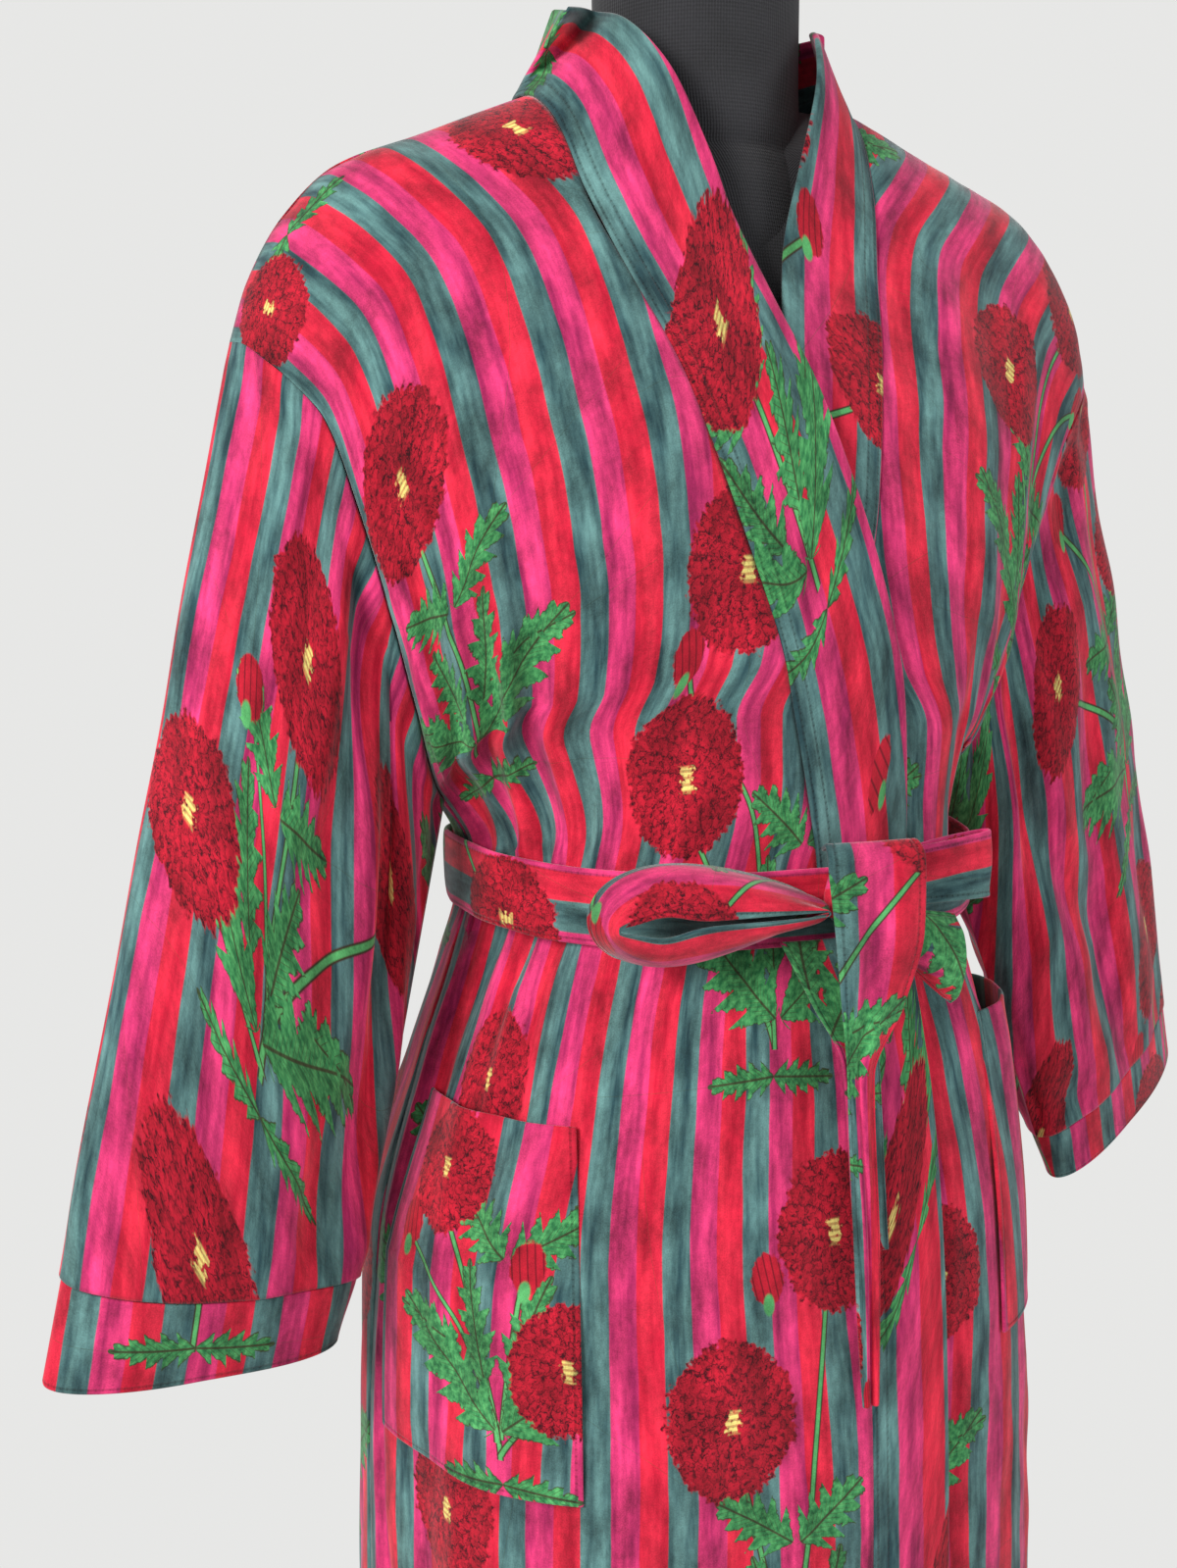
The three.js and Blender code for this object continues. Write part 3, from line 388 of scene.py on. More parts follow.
def fold_depth(folds, row, across):
    """How far the listed folds press the cloth in at each place."""
    depth = np.zeros(np.broadcast(row, across).shape)
    for values in folds:
        f = dict(zip(FOLD, values))
        share = (row - f["start"]) / (f["end"] - f["start"])
        inside = (share > 0) & (share <= 1)
        t = np.clip(share, 0, 1)
        hangs_open = f["end"] >= HEM_ROW
        swell = smooth_step(0, 0.4, t) if hangs_open else np.abs(np.sin(math.pi * t)) ** 0.8
        line = f["across_top"] + (f["across_end"] - f["across_top"]) * t
        trough = np.exp(-(((across - line) / f["wide"]) ** 2))
        depth = depth + np.where(inside, f["depth"] * swell * trough, 0)
    return depth


print("large folds:", len(RIGHT_FRONT_FOLDS) + len(LEFT_FRONT_FOLDS) + len(BACK_FOLDS))


# %% Points of the worn form
def side_of(hand, row):
    return body_at(row)["side" if hand == RIGHT else "sideLeft"]


def seam_out(hand, row):
    return body_at(row)["seamRight" if hand == RIGHT else "seamLeft"]


def unit(v):
    return v / np.maximum(np.linalg.norm(v, axis=-1, keepdims=True), 1e-9)


def body_point(hand, facing, row, share):
    """A point of the robe before folds; share is 1 at the side and 0 at the centre plane."""
    b = body_at(row)
    depth, centre = (b["front"], b["zFront"]) if facing == FRONT else (b["back"], b["zBack"])
    full = np.maximum(0, 1 - np.abs(share) ** SECTION_POWER) ** (1 / SECTION_POWER)
    height = b["zSide"] + (centre - b["zSide"]) * rise_at(1 - share)["rise"]
    out = hand * side_of(hand, row) * share
    deep = facing * (b["edge"] + (depth - b["edge"]) * full + SEAM / 2)
    return np.stack(np.broadcast_arrays(out, deep, BELT_Z + height), -1)


def body_normal(hand, facing, row, share):
    row, share = np.maximum(row, 1), np.clip(share, -0.985, 0.985)
    down = body_point(hand, facing, row + 1, share) - body_point(hand, facing, row - 1, share)
    low, high = share - 0.012, share + 0.012
    across = body_point(hand, facing, row, high) - body_point(hand, facing, row, low)
    return unit(np.cross(down, across)) * (-hand * facing)


def section_angle(share):
    return np.arccos(np.sign(share) * np.abs(share) ** (SECTION_POWER / 2))


def section_share(angle):
    c = np.cos(angle)
    return np.sign(c) * np.abs(c) ** (2 / SECTION_POWER)


LEFT_INSET = 7


def front_point(hand, row, share):
    """A front panel with its large folds; the left one lies under the right one."""
    folds = RIGHT_FRONT_FOLDS if hand == RIGHT else LEFT_FRONT_FOLDS
    depth = fold_depth(folds, row, share)
    if hand == LEFT:
        depth = depth * smooth_step(0.3, 0.5, share)
        depth = depth + LEFT_INSET * smooth_step(60, 130, row) * (1 - smooth_step(0.3, 0.62, share))
    depth = np.where(share > 0.999, 0, depth)
    return body_point(hand, FRONT, row, share) - body_normal(hand, FRONT, row, share) * depth[..., None]


def back_point(row, share):
    """The back panel, from share -1 at the right side to 1 at the left."""
    depth = fold_depth(BACK_FOLDS, row, share) * (1 - smooth_step(0.985, 1, np.abs(share)))
    halves = []
    for hand in (RIGHT, LEFT):
        p = body_point(hand, BACK, row, np.abs(share))
        halves.append(p - body_normal(hand, BACK, row, np.abs(share)) * depth[..., None])
    return np.where((share < 0)[..., None], halves[0], halves[1])


print("chest point:", front_point(RIGHT, np.array(200.0), np.array(0.5)).round(1))

# %% [markdown]
# ## One way to make every cloth piece
# A cloth piece starts as a flat grid, as it would from the cutter. Its points are moved to the
# worn form, pressed in or out along the cloth's own direction for creases, and given a thin wall
# by Solidify. The map called Cloth keeps the flat cut in metres, so the print never stretches.
# The map called Stitch keeps the distance to the nearest stitched edge.


# %% The sheet maker
def grid_of(columns, rows):
    """A flat bmesh grid with its points in reading order, and their shares across and down."""
    bm = bmesh.new()
    bmesh.ops.create_grid(bm, x_segments=columns, y_segments=rows, size=0.5)
    bm.verts.ensure_lookup_table()
    flat = np.array([v.co for v in bm.verts])
    across, down = flat[:, 0] + 0.5, 0.5 - flat[:, 1]
    order = np.lexsort((across.round(6), down.round(6)))
    shape = (rows + 1, columns + 1)
    return bm, order.reshape(shape), across[order].reshape(shape), down[order].reshape(shape)


def directions(points, closed):
    """Unit directions out of a grid of points."""
    if closed:
        ring = np.concatenate([points[:, -2:-1], points, points[:, 1:2]], 1)
        across = (ring[:, 2:] - ring[:, :-2]) / 2
    else:
        across = np.gradient(points, axis=1)
    return unit(np.cross(across, -np.gradient(points, axis=0)))


def arc_across(points):
    steps = np.linalg.norm(np.diff(points, axis=1), axis=-1)
    return np.concatenate([np.zeros((len(points), 1)), np.cumsum(steps, 1)], 1)


def arc_down(points):
    return arc_across(points.transpose(1, 0, 2)).T


made_pieces = {}
# Wall of one layer, of a hemmed piece, of the doubled belt and of the doubled neckband, in mm
ONE_LAYER, HEMMED, DOUBLED, BAND_DOUBLED = 1.6, 2.0, 2.2, 3.2
# Distance from a stitched edge where there is none, in mm
NO_EDGE = 900
WELD = 0.00002  # m between the first and last column of a closed ring
# How far the painted plants are moved on each piece against its stripes, in mm
PLANT_SHIFT = {
    "front_right_cloth": (-82, 10), "sleeve_right_cloth": (-152, 249), "cuff_right_cloth": (-166, 551),
    "pocket_right_cloth": (-130, 231), "neckband_right_cloth": (-47, 435), "sleeve_left_cloth": (-184, 312),
}


def cloth_piece(name, slot, size, place, cut, stitch=None, press=None, thick=ONE_LAYER, closed=False,
                inside=(0, 0), smooth_levels=0):
    """size is (columns, rows), place gives points in mm, cut gives the flat cut in mm."""
    bm, order, across, down = grid_of(*size)
    points = place(across, down)
    out = directions(points, closed)
    if callable(inside):
        from_middle = points - inside(points)
    else:
        from_middle = points - np.array([*inside, 0])
        from_middle[..., 2] = 0
    if (out * from_middle).sum(-1).mean() < 0:
        out = -out
        bmesh.ops.reverse_faces(bm, faces=bm.faces[:])
    flat_u, flat_v = cut(across, down, points)
    if press is not None:
        points = points + out * press(across, down, flat_u, flat_v)[..., None]
    edge, along = stitch(across, down, flat_u, flat_v) if stitch else (flat_u * 0 + NO_EDGE, flat_v)
    shift_u, shift_v = PLANT_SHIFT.get(name, (0, 0))
    maps = {
        "Cloth": (flat_u, flat_v), "Stitch": (edge, along),
        "Plant": (flat_u + shift_u, flat_v + shift_v),
    }
    for vertex, place_of in zip(order.ravel(), points.reshape(-1, 3)):
        bm.verts[vertex].co = place_of * MM
    for map_name, (first, second) in maps.items():
        layer = bm.loops.layers.uv.new(map_name)
        pair = np.empty((order.size, 2))
        pair[order.ravel(), 0] = first.ravel() * MM
        pair[order.ravel(), 1] = second.ravel() * MM
        pair = [Vector(p) for p in pair]
        for face in bm.faces:
            for loop in face.loops:
                loop[layer].uv = pair[loop.vert.index]
    if closed:
        bmesh.ops.remove_doubles(bm, verts=bm.verts[:], dist=WELD)
    mesh = bpy.data.meshes.new(name)
    bm.to_mesh(mesh)
    bm.free()
    piece = bpy.data.objects.new(name, mesh)
    bpy.context.scene.collection.objects.link(piece)
    mesh.shade_smooth()
    wall = piece.modifiers.new("wall", "SOLIDIFY")
    wall.thickness = thick * MM
    wall.offset = -1
    wall.use_even_offset = False
    if smooth_levels:
        rounding = piece.modifiers.new("rounding", "SUBSURF")
        rounding.levels = rounding.render_levels = smooth_levels
    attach(piece, "root")
    made_pieces[name] = piece
    print(f"{name}: {order.size} points")
    return piece


# %% [markdown]
# ## Creases
# Velvet is thick, so it falls in soft troughs with a low swell on each side, never in sharp
# lines. Each crease is one row of a table on the flat cut: its two ends, how far it bows, its
# width and its depth, with a plus for a trough and a minus for a ridge.

# %% Creases and gathers
CREASE = ("u0", "v0", "u1", "v1", "bow", "wide", "deep")


def press_creases(rows, u, v):
    """The sum of the listed creases at each place of the flat cut, in mm outwards."""
    out = np.zeros_like(u)
    for values in rows:
        c = dict(zip(CREASE, values))
        run = np.array([c["u1"] - c["u0"], c["v1"] - c["v0"]], float)
        length = np.hypot(*run)
        run /= length
        t = ((u - c["u0"]) * run[0] + (v - c["v0"]) * run[1]) / length
        off = -(u - c["u0"]) * run[1] + (v - c["v0"]) * run[0] - c["bow"] * np.sin(math.pi * np.clip(t, 0, 1))
        fade = np.sin(math.pi * np.clip(t, 0, 1)) ** 0.6 * ((t > 0) & (t < 1))
        trough = np.exp(-((off / c["wide"]) ** 2))
        swell = 0.35 * np.exp(-((np.abs(off) / c["wide"] - 1.9) ** 2) * 1.6)
        out += -c["deep"] * fade * (trough - swell)
    return out


GATHER = ("u", "wide", "deep", "above", "below")


def press_gathers(rows, u, v, lean=0.0):
    """Gathers that the belt holds: each fades above and below the belt at its own rate."""
    out = np.zeros_like(u)
    height = v + BELT_ROW
    for values in rows:
        g = dict(zip(GATHER, values))
        reach = np.where(height > 0, g["above"], g["below"])
        fade = np.exp(-np.abs(height) / reach)
        middle = g["u"] + lean * height
        spread = g["wide"] * (1 + 0.8 * (1 - fade))
        out += -g["deep"] * fade * np.exp(-(((u - middle) / spread) ** 2))
    return out


def unevenness(u, v, seed, size, amount):
    """A slow, seeded waviness, so that no stretch of cloth is dead flat."""
    random = np.random.default_rng(seed)
    out = np.zeros_like(u)
    for _ in range(7):
        heading = random.uniform(0, math.pi)
        wavelength = size * random.uniform(0.7, 1.6)
        phase = random.uniform(0, 2 * math.pi)
        along = u * math.cos(heading) * 1.6 + v * math.sin(heading) * 0.6
        out += np.sin(along * 2 * math.pi / wavelength + phase)
    return out * amount / 3


print("crease helpers ready")

# %% [markdown]
# ## Front panels and pockets
# Each front is cut in one piece from the shoulder to the hem. It is gathered where the belt
# holds it, and the print shows that: the stripes crowd together at the waist. So the flat
# width across a row is the worn width times a fullness that peaks at the belt.

# %% Fullness of the cut, and the front panels
full_at = smooth_table("row full", [
    [0, 1.0], [195, 1.0], [300, 1.1], [395, 1.3], [438, 1.38], [475, 1.34],
    [530, 1.22], [620, 1.12], [740, 1.05], [1308, 1.0],
])


def seam_share(hand, row):
    return seam_out(hand, row) / side_of(hand, row)


def front_place(hand):
    def place(across, down):
        row = down * HEM_ROW
        share = section_share(section_angle(seam_share(hand, row)) * across)
        return front_point(hand, row, share)
    return place


def front_cut(hand, print_u, print_v):
    def cut(across, down, points):
        row = down * HEM_ROW
        from_side = arc_across(points) * full_at(row)["full"]
        return print_u - hand * from_side, print_v - row
    return cut


RIGHT_FRONT_CREASES = [
    # from the shoulder and underarm to the waist, then below the belt
    [24, -190, 33, -400, 8, 8, 6.0], [62, -230, 56, -400, 8, 8, 5.5], [100, -270, 82, -410, 8, 10, 4.0],
    [96, -60, 84, -330, 10, 18, 3.0], [168, -120, 150, -430, -10, 14, 3.0],
    [210, -300, 176, -436, -8, 10, 3.2],
    [12, -250, 30, -432, 5, 5, 3.2],
    [22, -215, 52, -430, -6, 7, 3.0],
    [60, -270, 84, -432, 6, 8, 2.2],
    [96, -300, 110, -434, -4, 7, 1.6],
    [30, -60, 14, -240, 9, 11, 2.0],
    [60, -30, 40, -260, 12, 16, 1.4],
    [120, -90, 100, -300, 8, 18, 1.2],
    [150, -150, 160, -420, -10, 15, 1.3],
    [110, -446, 96, -640, 6, 10, 1.8],
    [150, -444, 160, -700, -6, 13, 1.6],
    [186, -446, 190, -560, 3, 7, 1.4],
    [40, -446, 30, -560, -4, 8, 2.2],
    [70, -700, 96, -1240, 8, 22, 2.4],
    [150, -740, 148, -1306, -9, 26, 2.2],
    [20, -760, 34, -1306, 6, 20, 2.6],
    [190, -620, 196, -980, 5, 16, 1.4],
]
LEFT_FRONT_CREASES = [
    [-14, -250, -34, -432, -5, 6, 3.0],
    [-30, -225, -64, -430, 6, 8, 2.6],
    [-90, -290, -104, -434, 5, 8, 1.8],
    [-40, -60, -22, -240, -9, 12, 2.0],
    [-90, -40, -70, -280, -10, 18, 1.3],
    [-150, -120, -140, -400, 8, 18, 1.2],
    [-50, -446, -40, -590, 4, 8, 2.2],
    [-110, -446, -100, -700, -6, 12, 1.7],
    [-60, -720, -90, -1260, -7, 22, 2.4],
    [-140, -700, -150, -1306, 8, 26, 2.0],
    [-20, -740, -30, -1306, -6, 18, 2.4],
]
RIGHT_GATHERS = [
    [16, 5.5, 8.0, 120, 30], [47, 7.0, 11.0, 180, 44], [83, 8.0, 9.0, 190, 70],
    [119, 8.0, 5.0, 120, 36], [84, 5.5, 1.8, 46, 24], [112, 6, 1.4, 34, 40],
    [146, 6, 1.2, 26, 22], [176, 5, 1.0, 30, 36],
]
LEFT_GATHERS = [
    [-16, 4.0, 3.4, 80, 30], [-33, 4.4, 3.8, 100, 44], [-52, 4.2, 2.6, 64, 28],
    [-78, 5.5, 2.0, 50, 36], [-106, 6, 1.6, 36, 24], [-140, 6, 1.2, 30, 32],
]


PRESS_ROOM = 11  # mm between the cloth and the form that a trough may take up


def kept_off_form(press):
    """Troughs level off before they reach the dress form under the cloth."""
    return np.where(press < 0, -PRESS_ROOM * np.tanh(-press / PRESS_ROOM), press)


def front_press(creases, gathers, seed, print_u, print_v, lean):
    def press(across, down, flat_u, flat_v):
        u, v = flat_u - print_u, flat_v - print_v
        row = down * HEM_ROW
        at_seam = 1 - 0.6 * smooth_step(0.93, 1, across)
        soft = unevenness(u, v, seed, 95, 1.5) + unevenness(u, v, seed + 1, 38, 0.45)
        soft = soft * smooth_step(0, 60, row) * (1 - 0.6 * np.exp(-(((row - BELT_ROW) / 24) ** 2)))
        drawn = press_creases(creases, u, v) + press_gathers(gathers, u, v, lean)
        edge_dip = -0.5 * np.exp(-((across * 60) ** 2)) * smooth_step(6, 40, row)
        return kept_off_form(drawn + soft) * at_seam * smooth_step(0, 0.02, across) + edge_dip
    return press


PRINT = {
    "front_right": (27.0, 0.0), "front_left": (40.0, -60.0), "back": (0.0, -40.0),
    "sleeve_right": (60.0, 0.0), "sleeve_left": (20.0, 90.0),
    "cuff_right": (95.0, -110.0), "cuff_left": (30.0, -40.0),
    "band_right": (20.0, 30.0), "band_left": (79.0, 130.0),
    "pocket_right": (30.0, -70.0), "pocket_left": (8.0, -30.0),
    "belt": (46.0, 15.0), "bow": (29.0, 60.0), "tail": (25.0, 150.0),
}
FRONT_GRID = (110, 330)
SIDES = ((RIGHT, "right"), (LEFT, "left"))
for (hand, side), creases, gathers, seed, lean in zip(
    SIDES, (RIGHT_FRONT_CREASES, LEFT_FRONT_CREASES), (RIGHT_GATHERS, LEFT_GATHERS), (11, 23), (0.06, -0.06),
):
    print_at = PRINT[f"front_{side}"]
    cloth_piece(
        f"front_{side}_cloth", "velvet", FRONT_GRID, front_place(hand), front_cut(hand, *print_at),
        press=front_press(creases, gathers, seed, *print_at, lean),
    )

# %% Patch pockets
POCKET_FROM_SEAM = 124
POCKET_ROWS = {RIGHT: (538, 714), LEFT: (506, 668)}
POCKET_GAPE = {RIGHT: 7, LEFT: 13}
POCKET_CLEAR = 2.5
MEAN_RADIUS = 0.515  # of a body section, as a share of its side and depth together
POCKET_MARGIN = 1 / 12  # bare share of the cloth between the side and the pocket


def pocket_place(hand):
    top, bottom = POCKET_ROWS[hand]

    def place(across, down):
        row = top + (bottom - top) * down
        radius = MEAN_RADIUS * (side_of(hand, row) + body_at(row)["front"])
        seam_angle = section_angle(seam_share(hand, row))
        edge = 1 - POCKET_FROM_SEAM / (radius * seam_angle)
        share = section_share(seam_angle * edge * (POCKET_MARGIN + across * (1 - POCKET_MARGIN)))
        out = body_normal(hand, FRONT, row, share)
        gape = POCKET_GAPE[hand] * np.sin(math.pi * across) * (1 - down) ** 3
        return front_point(hand, row, share) + out * (POCKET_CLEAR + gape)[..., None]
    return place


def panel_cut(hand, print_u, print_v):
    def cut(across, down, points):
        return print_u - hand * arc_across(points), print_v - arc_down(points)
    return cut


def pocket_stitch(across, down, flat_u, flat_v):
    wide = np.abs(flat_u[:, -1:] - flat_u[:, :1])
    from_side = np.minimum(across, 1 - across) * wide
    from_bottom = (flat_v - flat_v[-1:, :])
    return np.minimum(from_side, from_bottom), np.where(from_side < from_bottom, flat_v, flat_u)


def pocket_press(seed):
    def press(across, down, flat_u, flat_v):
        inner = np.sin(math.pi * np.clip(across, 0, 1)) ** 0.5 * smooth_step(1, 0.9, down)
        puff = 1.6 * np.sin(math.pi * across) * (1 - down) * down * 4
        return (unevenness(flat_u, flat_v, seed, 60, 1.1) + puff) * inner
    return press


POCKET_GRID = (70, 90)
for (hand, side), seed in zip(SIDES, (31, 37)):
    cloth_piece(
        f"pocket_{side}_cloth", "velvet", POCKET_GRID, pocket_place(hand),
        panel_cut(hand, *PRINT[f"pocket_{side}"]), stitch=pocket_stitch, press=pocket_press(seed),
        thick=HEMMED, smooth_levels=1,
    )

# %% [markdown]
# ## Back panel
# The back is one piece with a curved neck. Its columns are spaced by angle, so they are close at
# the sides where the body turns and close beside the neck where the curve is steep.


# %% Back panel
def neck_share(hand):
    return NECK_OUT[hand] / float(side_of(hand, 0))


def back_share(across):
    right_neck, left_neck = -neck_share(RIGHT), neck_share(LEFT)
    outer = 0.3
    t = np.clip(across / outer, 0, 1)
    right = -section_share(section_angle(-right_neck) * t)
    middle = np.clip((across - outer) / (1 - 2 * outer), 0, 1)
    half = np.cos(math.pi * middle)
    neck = np.where(half > 0, right_neck * half, -left_neck * half)
    t = np.clip((1 - across) / outer, 0, 1)
    left = section_share(section_angle(left_neck) * t)
    return np.where(across < outer, right, np.where(across > 1 - outer, left, neck))


def back_neck_row(share):
    neck = np.where(share < 0, neck_share(RIGHT), neck_share(LEFT))
    return BACK_NECK_DROP * np.sqrt(np.maximum(0, 1 - (share / neck) ** 2))


def back_row(share, down):
    row, meets = down * HEM_ROW, 214
    top = back_neck_row(share)
    return np.where(row < meets, top + (meets - top) * row / meets, row)


def back_place(across, down):
    share = back_share(across)
    return back_point(back_row(share, down), share)


def back_cut(across, down, points):
    row = down * HEM_ROW
    arc = arc_across(points)
    middle = arc.shape[1] // 2
    print_u, print_v = PRINT["back"]
    from_middle = (arc - arc[:, middle:middle + 1]) * full_at(row)["full"]
    return print_u - from_middle, print_v - back_row(back_share(across), down)


BACK_CREASES = [
    [-190, -250, -150, -432, 6, 7, 3.2], [190, -240, 148, -432, -6, 7, 3.0],
    [-150, -260, -110, -434, -5, 9, 2.4], [120, -270, 100, -434, 5, 9, 2.4],
    [-60, -300, -54, -436, 4, 10, 1.6], [40, -310, 50, -436, -4, 9, 1.5],
    [-180, -60, -120, -300, 12, 18, 1.6], [180, -70, 130, -320, -12, 18, 1.5],
    [-90, -446, -96, -660, 5, 10, 2.0], [100, -446, 110, -700, -6, 12, 2.0],
    [10, -446, 0, -620, 4, 10, 1.6], [-150, -500, -160, -1306, 8, 22, 2.6],
    [-50, -640, -60, -1306, -8, 28, 3.0], [70, -620, 76, -1306, 8, 26, 3.0],
    [160, -520, 170, -1306, -7, 22, 2.6],
]
BACK_GATHERS = [
    [-196, 4, 3.0, 80, 30], [-170, 5, 3.4, 60, 40], [-132, 5, 2.2, 90, 30], [-96, 6, 2.6, 50, 50],
    [-48, 6, 1.8, 40, 30], [-8, 6, 2.0, 60, 26], [40, 6, 1.8, 44, 44], [88, 6, 2.4, 70, 30],
    [128, 5, 2.8, 50, 30], [166, 5, 3.2, 84, 36], [194, 4, 3.0, 60, 30],
]


def back_press(across, down, flat_u, flat_v):
    u, v = flat_u - PRINT["back"][0], flat_v - PRINT["back"][1]
    soft = unevenness(u, v, 41, 100, 1.6) + unevenness(u, v, 42, 40, 0.4)
    drawn = press_creases(BACK_CREASES, u, v) + press_gathers(BACK_GATHERS, u, v)
    near = np.minimum(across, 1 - across)
    return kept_off_form(drawn + soft * smooth_step(0, 0.04, down)) * smooth_step(0, 0.02, near)


cloth_piece("back_cloth", "velvet", (190, 260), back_place, back_cut, press=back_press)

# %% [markdown]
# ## Sleeves and cuffs
# A straight sleeve is a tube that is flat when empty. The armhole is a tall ring and the hem a
# slim one, so each point of the tube runs straight from one to the other, with a slight bulge
# for the arm's room and slanting folds under the arm.

# %% Sleeves
SLEEVE_END = {
    RIGHT: {
        "outer": (-357, -58, -207), "inner": (-207, -38, -212), "half": 27, "faces": (-0.14, -0.98, -0.12),
    },
    LEFT: {"outer": (397, 101, -160), "inner": (244, 16, -210), "half": 22, "faces": (0.5, -0.84, -0.2)},
}
SLEEVE_FOLDS = {
    RIGHT: [[0.02, 0.5, 0.3, 0.42, 0.035, 7], [0.1, 0.72, 0.22, 0.36, 0.04, 5],
            [0.3, 0.95, 0.4, 0.33, 0.04, 4], [0.05, 0.6, 0.72, 0.6, 0.05, 7],
            [0.25, 0.9, 0.82, 0.7, 0.05, 5]],
    LEFT: [[0.02, 0.5, 0.26, 0.4, 0.04, 7], [0.2, 0.8, 0.16, 0.3, 0.045, 5],
           [0.05, 0.65, 0.74, 0.6, 0.05, 7], [0.3, 0.95, 0.86, 0.76, 0.05, 5]],
}
CUFF_START = 0.9


def armhole_point(hand, around):
    front = around <= 0.5
    row = ARMHOLE_DEPTH * np.where(front, 2 * around, 2 * (1 - around))
    points = np.where(front[..., None], body_point(hand, FRONT, row, 1.0), body_point(hand, BACK, row, 1.0))
    on_line = (row < 0.5) | (row > ARMHOLE_DEPTH - 0.5)
    points[..., 1] = np.where(on_line, 0, points[..., 1])
    return points


def sleeve_point(hand, around, along):
    """around is 0 at the outer fold, 0.25 at the front, 0.5 at the underarm."""
    end = SLEEVE_END[hand]
    outer, inner, faces = (np.array(end[k], float) for k in ("outer", "inner", "faces"))
    faces = faces / np.linalg.norm(faces)
    angle = 2 * math.pi * around
    hem = (outer + inner) / 2 + np.cos(angle)[..., None] * (outer - inner) / 2
    hem = hem + np.sin(angle)[..., None] * faces * end["half"] + np.array([0, 0, BELT_Z])
    points = armhole_point(hand, around) * (1 - along)[..., None] + hem * along[..., None]
    bulge = 5 * np.sin(math.pi * along) * np.sin(angle)
    fold = fold_depth(SLEEVE_FOLDS[hand], along, around) * np.sign(np.sin(angle) + 0.001)
    return points + (bulge - fold)[..., None] * faces


def around_of(across):
    """The tube is laid out from the underarm seam, over the back and the outer fold, to the front."""
    return np.mod(across + 0.5, 1)


def sleeve_place(hand, start, end):
    def place(across, down):
        return sleeve_point(hand, around_of(across), start + (end - start) * down)
    return place


def middle_of_rings(points):
    return points.mean(1, keepdims=True)


def sleeve_cut(hand, print_u, print_v, first_v=0.0):
    """The print is measured from the outer fold, so it breaks at the underarm seam."""
    def cut(across, down, points):
        arc = arc_across(points)
        outer_fold = arc.shape[1] // 2
        from_fold = arc - arc[:, outer_fold:outer_fold + 1]
        return print_u - hand * from_fold, print_v - first_v - arc_down(points)
    return cut


SLEEVE_LENGTH = 480
SLEEVE_CREASES = {
    # u is measured from the outer fold towards the underarm over the front of the sleeve
    RIGHT: [
        [200, -10, 120, -290, 14, 11, 8.0], [250, -30, 175, -330, 10, 9, 8.0],
        [160, -4, 84, -220, 8, 11, 5.0], [230, -160, 150, -420, 14, 11, 6.5],
        [130, -210, 110, -430, 8, 12, 2.4], [60, -40, 50, -300, 8, 16, 1.6],
        [290, -90, 200, -210, -8, 8, 3.6], [190, -310, 120, -440, -8, 9, 2.6],
        [-200, -30, -120, -260, -12, 9, 4.6], [-250, -90, -150, -330, 12, 9, 4.6],
        [-90, -60, -70, -380, 8, 14, 2.2],
    ],
    LEFT: [
        [190, -30, 110, -250, 12, 9, 4.6], [240, -80, 150, -310, 12, 8, 4.6],
        [120, -160, 90, -400, 8, 12, 2.6], [50, -60, 44, -330, -6, 14, 1.8],
        [-190, -30, -110, -260, 12, 9, 4.4], [-240, -100, -140, -330, 10, 9, 4.2],
        [-100, -180, -70, -420, 8, 14, 2.4],
    ],
}


def sleeve_press(hand, seed, name):
    def press(across, down, flat_u, flat_v):
        u = -hand * (flat_u - PRINT[name][0])
        v = flat_v - PRINT[name][1]
        drawn = press_creases(SLEEVE_CREASES[hand], u, v)
        soft = unevenness(u, v, seed, 85, 1.9) + unevenness(u, v, seed + 1, 36, 0.5)
        fold_line = 1 - 0.5 * np.exp(-(((across - 0.5) / 0.02) ** 2))
        under = smooth_step(0, 0.03, np.minimum(across, 1 - across))
        ends = smooth_step(0, 0.03, down) * (0.35 + 0.65 * smooth_step(1, 0.93, down))
        facing = np.maximum(0, np.sin(2 * math.pi * around_of(across)))
        valley = -9 * facing * smooth_step(0, 0.05, down) * (1 - smooth_step(0.06, 0.3, down))
        return (drawn + soft) * fold_line * under * ends + valley
    return press


for hand, side in SIDES:
    cloth_piece(
        f"sleeve_{side}_cloth", "velvet", (200, 170), sleeve_place(hand, 0, CUFF_START),
        sleeve_cut(hand, *PRINT[f"sleeve_{side}"]), press=sleeve_press(hand, 51 + hand, f"sleeve_{side}"),
        closed=True, inside=middle_of_rings,
    )


# %% Cuffs
CUFF_INSET = 1.4
CUFF_TUCK = 6


def cuff_place(hand):
    def place(across, down):
        along = CUFF_START + 0.002 + (0.998 - CUFF_START) * down
        points = sleeve_point(hand, around_of(across), along)
        middle = middle_of_rings(points)
        tuck = CUFF_TUCK * smooth_step(CUFF_START, 1, along)
        inner = np.maximum(0, -np.cos(2 * math.pi * around_of(across)))
        apart = np.linalg.norm(middle - points, axis=-1)
        points = points + (middle - points) * ((CUFF_INSET + tuck * inner) / apart)[..., None]
        points[..., 2] -= tuck * inner
        return points
    return place


def cuff_stitch(across, down, flat_u, flat_v):
    return (flat_v - flat_v.min(0)), flat_u


RING = {"closed": True, "inside": middle_of_rings, "smooth_levels": 1}
for hand, side in SIDES:
    cloth_piece(
        f"cuff_{side}_cloth", "velvet_cuff", (160, 22), cuff_place(hand),
        sleeve_cut(hand, *PRINT[f"cuff_{side}"], SLEEVE_LENGTH * CUFF_START),
        stitch=cuff_stitch, thick=HEMMED, **RING,
    )

